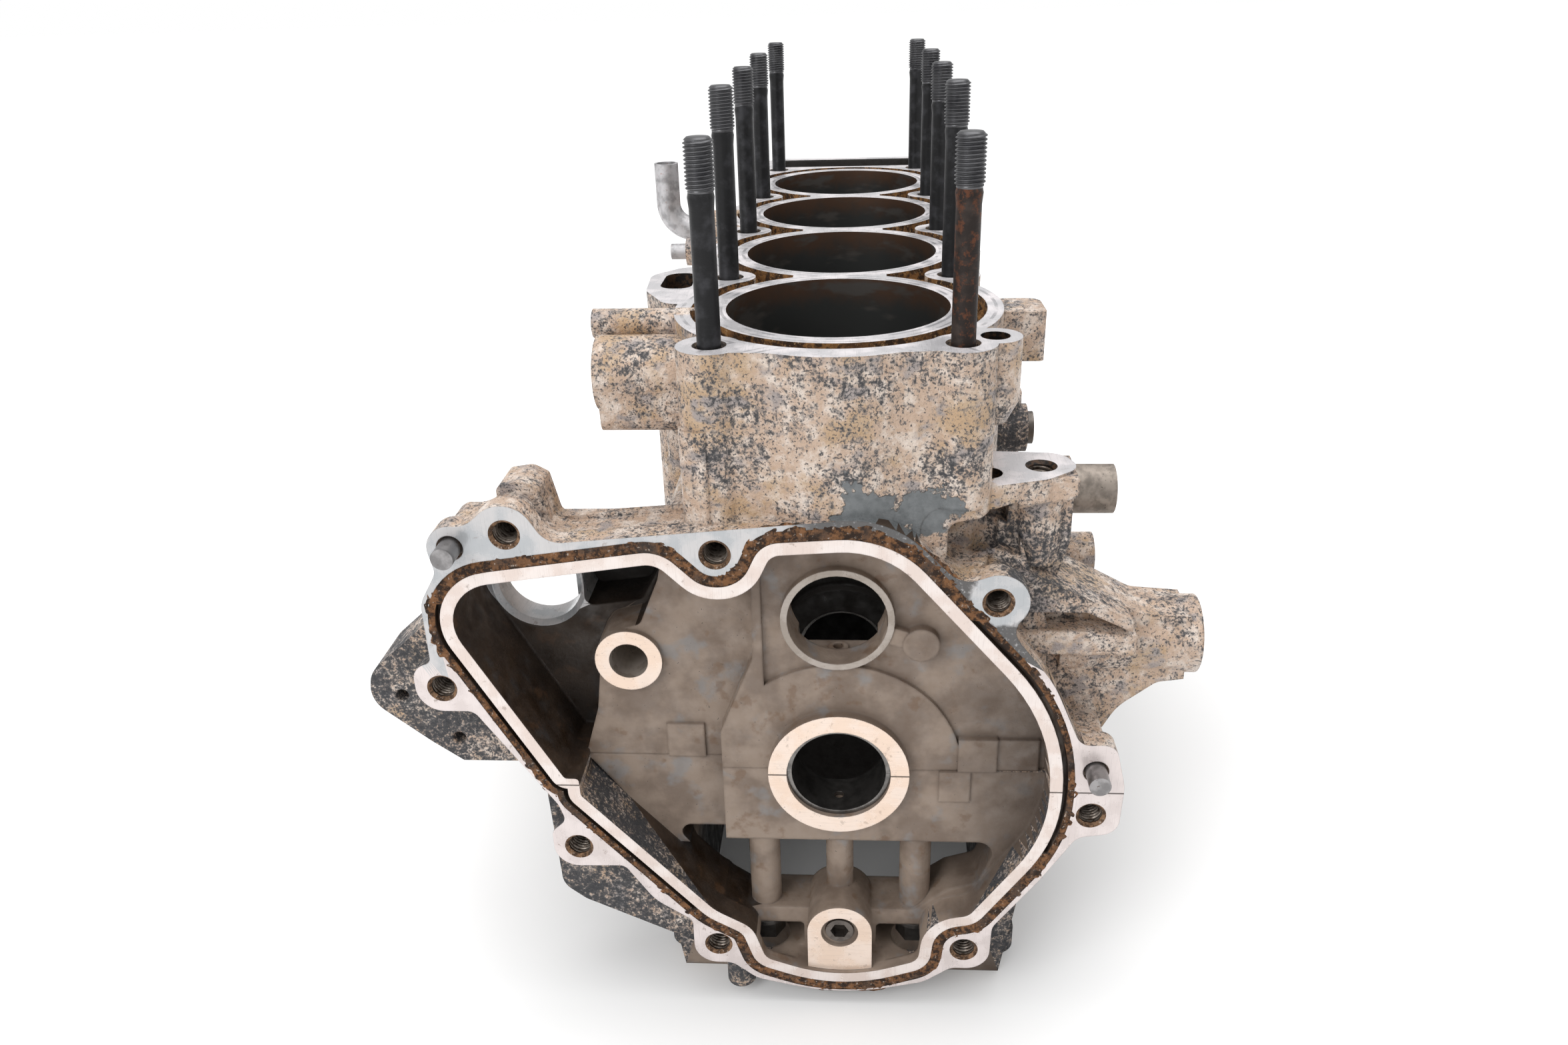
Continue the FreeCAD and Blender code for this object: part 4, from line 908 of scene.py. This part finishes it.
def floor_paper():
    """Matt paper that glows to white away from the block, but only as the camera sees it; the glow fades
    out near the block, which leaves a painted shadow round and under it.
    """
    paper = bpy.data.materials.new("white_paper_painted_shadow")
    paper.use_nodes = True
    nodes, links = paper.node_tree.nodes, paper.node_tree.links
    nodes.clear()
    matt = nodes.new("ShaderNodeBsdfDiffuse")
    matt.inputs["Color"].default_value = (0.82, 0.82, 0.82, 1)
    glow = nodes.new("ShaderNodeEmission")
    here = nodes.new("ShaderNodeTexCoord")
    away = nodes.new("ShaderNodeVectorMath")
    away.operation = "DISTANCE"
    away.inputs[1].default_value = SHADOW_FADE_CENTRE
    links.new(here.outputs["Object"], away.inputs[0])
    # the glow fades out towards the block: a painted shadow on the floor round and under it
    fade = nodes.new("ShaderNodeMapRange")
    fade.inputs["From Min"].default_value = SHADOW_FADE_START
    fade.inputs["From Max"].default_value = SHADOW_FADE_END
    fade.inputs["To Max"].default_value = 0.5
    links.new(away.outputs["Value"], fade.inputs["Value"])
    links.new(fade.outputs[0], glow.inputs["Strength"])
    seen = nodes.new("ShaderNodeLightPath")
    seen_or_mirrored = nodes.new("ShaderNodeMath")
    seen_or_mirrored.operation = "MAXIMUM"
    links.new(seen.outputs["Is Camera Ray"], seen_or_mirrored.inputs[0])
    links.new(seen.outputs["Is Glossy Ray"], seen_or_mirrored.inputs[1])
    dark = nodes.new("ShaderNodeEmission")
    dark.inputs["Strength"].default_value = 0.0
    lift = nodes.new("ShaderNodeMixShader")
    links.new(seen_or_mirrored.outputs[0], lift.inputs[0])
    links.new(dark.outputs[0], lift.inputs[1])
    links.new(glow.outputs[0], lift.inputs[2])
    both = nodes.new("ShaderNodeAddShader")
    links.new(matt.outputs[0], both.inputs[0])
    links.new(lift.outputs[0], both.inputs[1])
    out = nodes.new("ShaderNodeOutputMaterial")
    links.new(both.outputs[0], out.inputs["Surface"])
    return paper


low, high = cad_box
floor_z = low[2]
bpy.ops.mesh.primitive_plane_add(size=24, location=(0, 0, floor_z))
floor = bpy.context.object
floor.name = "studio_floor"
floor.data.materials.append(floor_paper())


def light_tent():
    """White backdrop for the camera, dimmer white light from all round for the block."""
    world = bpy.data.worlds.new("studio")
    bpy.context.scene.world = world
    world.use_nodes = True
    nodes, links = world.node_tree.nodes, world.node_tree.links
    sky = nodes["Background"]
    sky.inputs["Color"].default_value = (1, 1, 1, 1)
    sky.inputs["Strength"].default_value = 0.62
    backdrop = nodes.new("ShaderNodeBackground")
    backdrop.inputs["Color"].default_value = (1, 1, 1, 1)
    backdrop.inputs["Strength"].default_value = 1.0
    seen = nodes.new("ShaderNodeLightPath")
    choose = nodes.new("ShaderNodeMixShader")
    links.new(seen.outputs["Is Camera Ray"], choose.inputs[0])
    links.new(sky.outputs[0], choose.inputs[1])
    links.new(backdrop.outputs[0], choose.inputs[2])
    links.new(choose.outputs[0], nodes["World Output"].inputs["Surface"])


def softbox(name, place, aim, size, watts):
    light = bpy.data.lights.new(name, "AREA")
    light.shape = "RECTANGLE"
    light.size, light.size_y = size
    light.energy = watts
    lamp = bpy.data.objects.new(name, light)
    lamp.location = place
    lamp.rotation_euler = (Vector(aim) - Vector(place)).to_track_quat("-Z", "Y").to_euler()
    bpy.context.scene.collection.objects.link(lamp)


light_tent()
softbox("overhead", (0.2, 0.3, 1.9), (0, 0.2, 0), (1.8, 1.8), 26)
softbox("front_left", (-1.1, -1.3, 1.2), (0, 0.1, 0.05), (1.0, 1.0), 16)

EYE = Vector((0.0080, -0.3594, 0.2826))
YAW = math.radians(-4.08)
PITCH_DOWN = math.radians(25.27)
ROLL = math.radians(1.71)
ahead = math.cos(PITCH_DOWN)
forward = Vector((math.sin(YAW) * ahead, math.cos(YAW) * ahead, -math.sin(PITCH_DOWN)))
level = forward.cross(Vector((0, 0, 1))).normalized()
sunk = forward.cross(level).normalized()
right = math.cos(ROLL) * level + math.sin(ROLL) * sunk
up = right.cross(forward)
lens = bpy.data.cameras.new("front_camera")
lens.lens = 26.83
lens.sensor_width = 36
lens.clip_start = 0.01
camera = bpy.data.objects.new("front_camera", lens)
axes = Matrix((right, up, -forward)).transposed()
camera.matrix_world = Matrix.Translation(EYE) @ axes.to_4x4()
bpy.context.scene.collection.objects.link(camera)
bpy.context.scene.camera = camera
bpy.context.scene.view_settings.view_transform = "Standard"
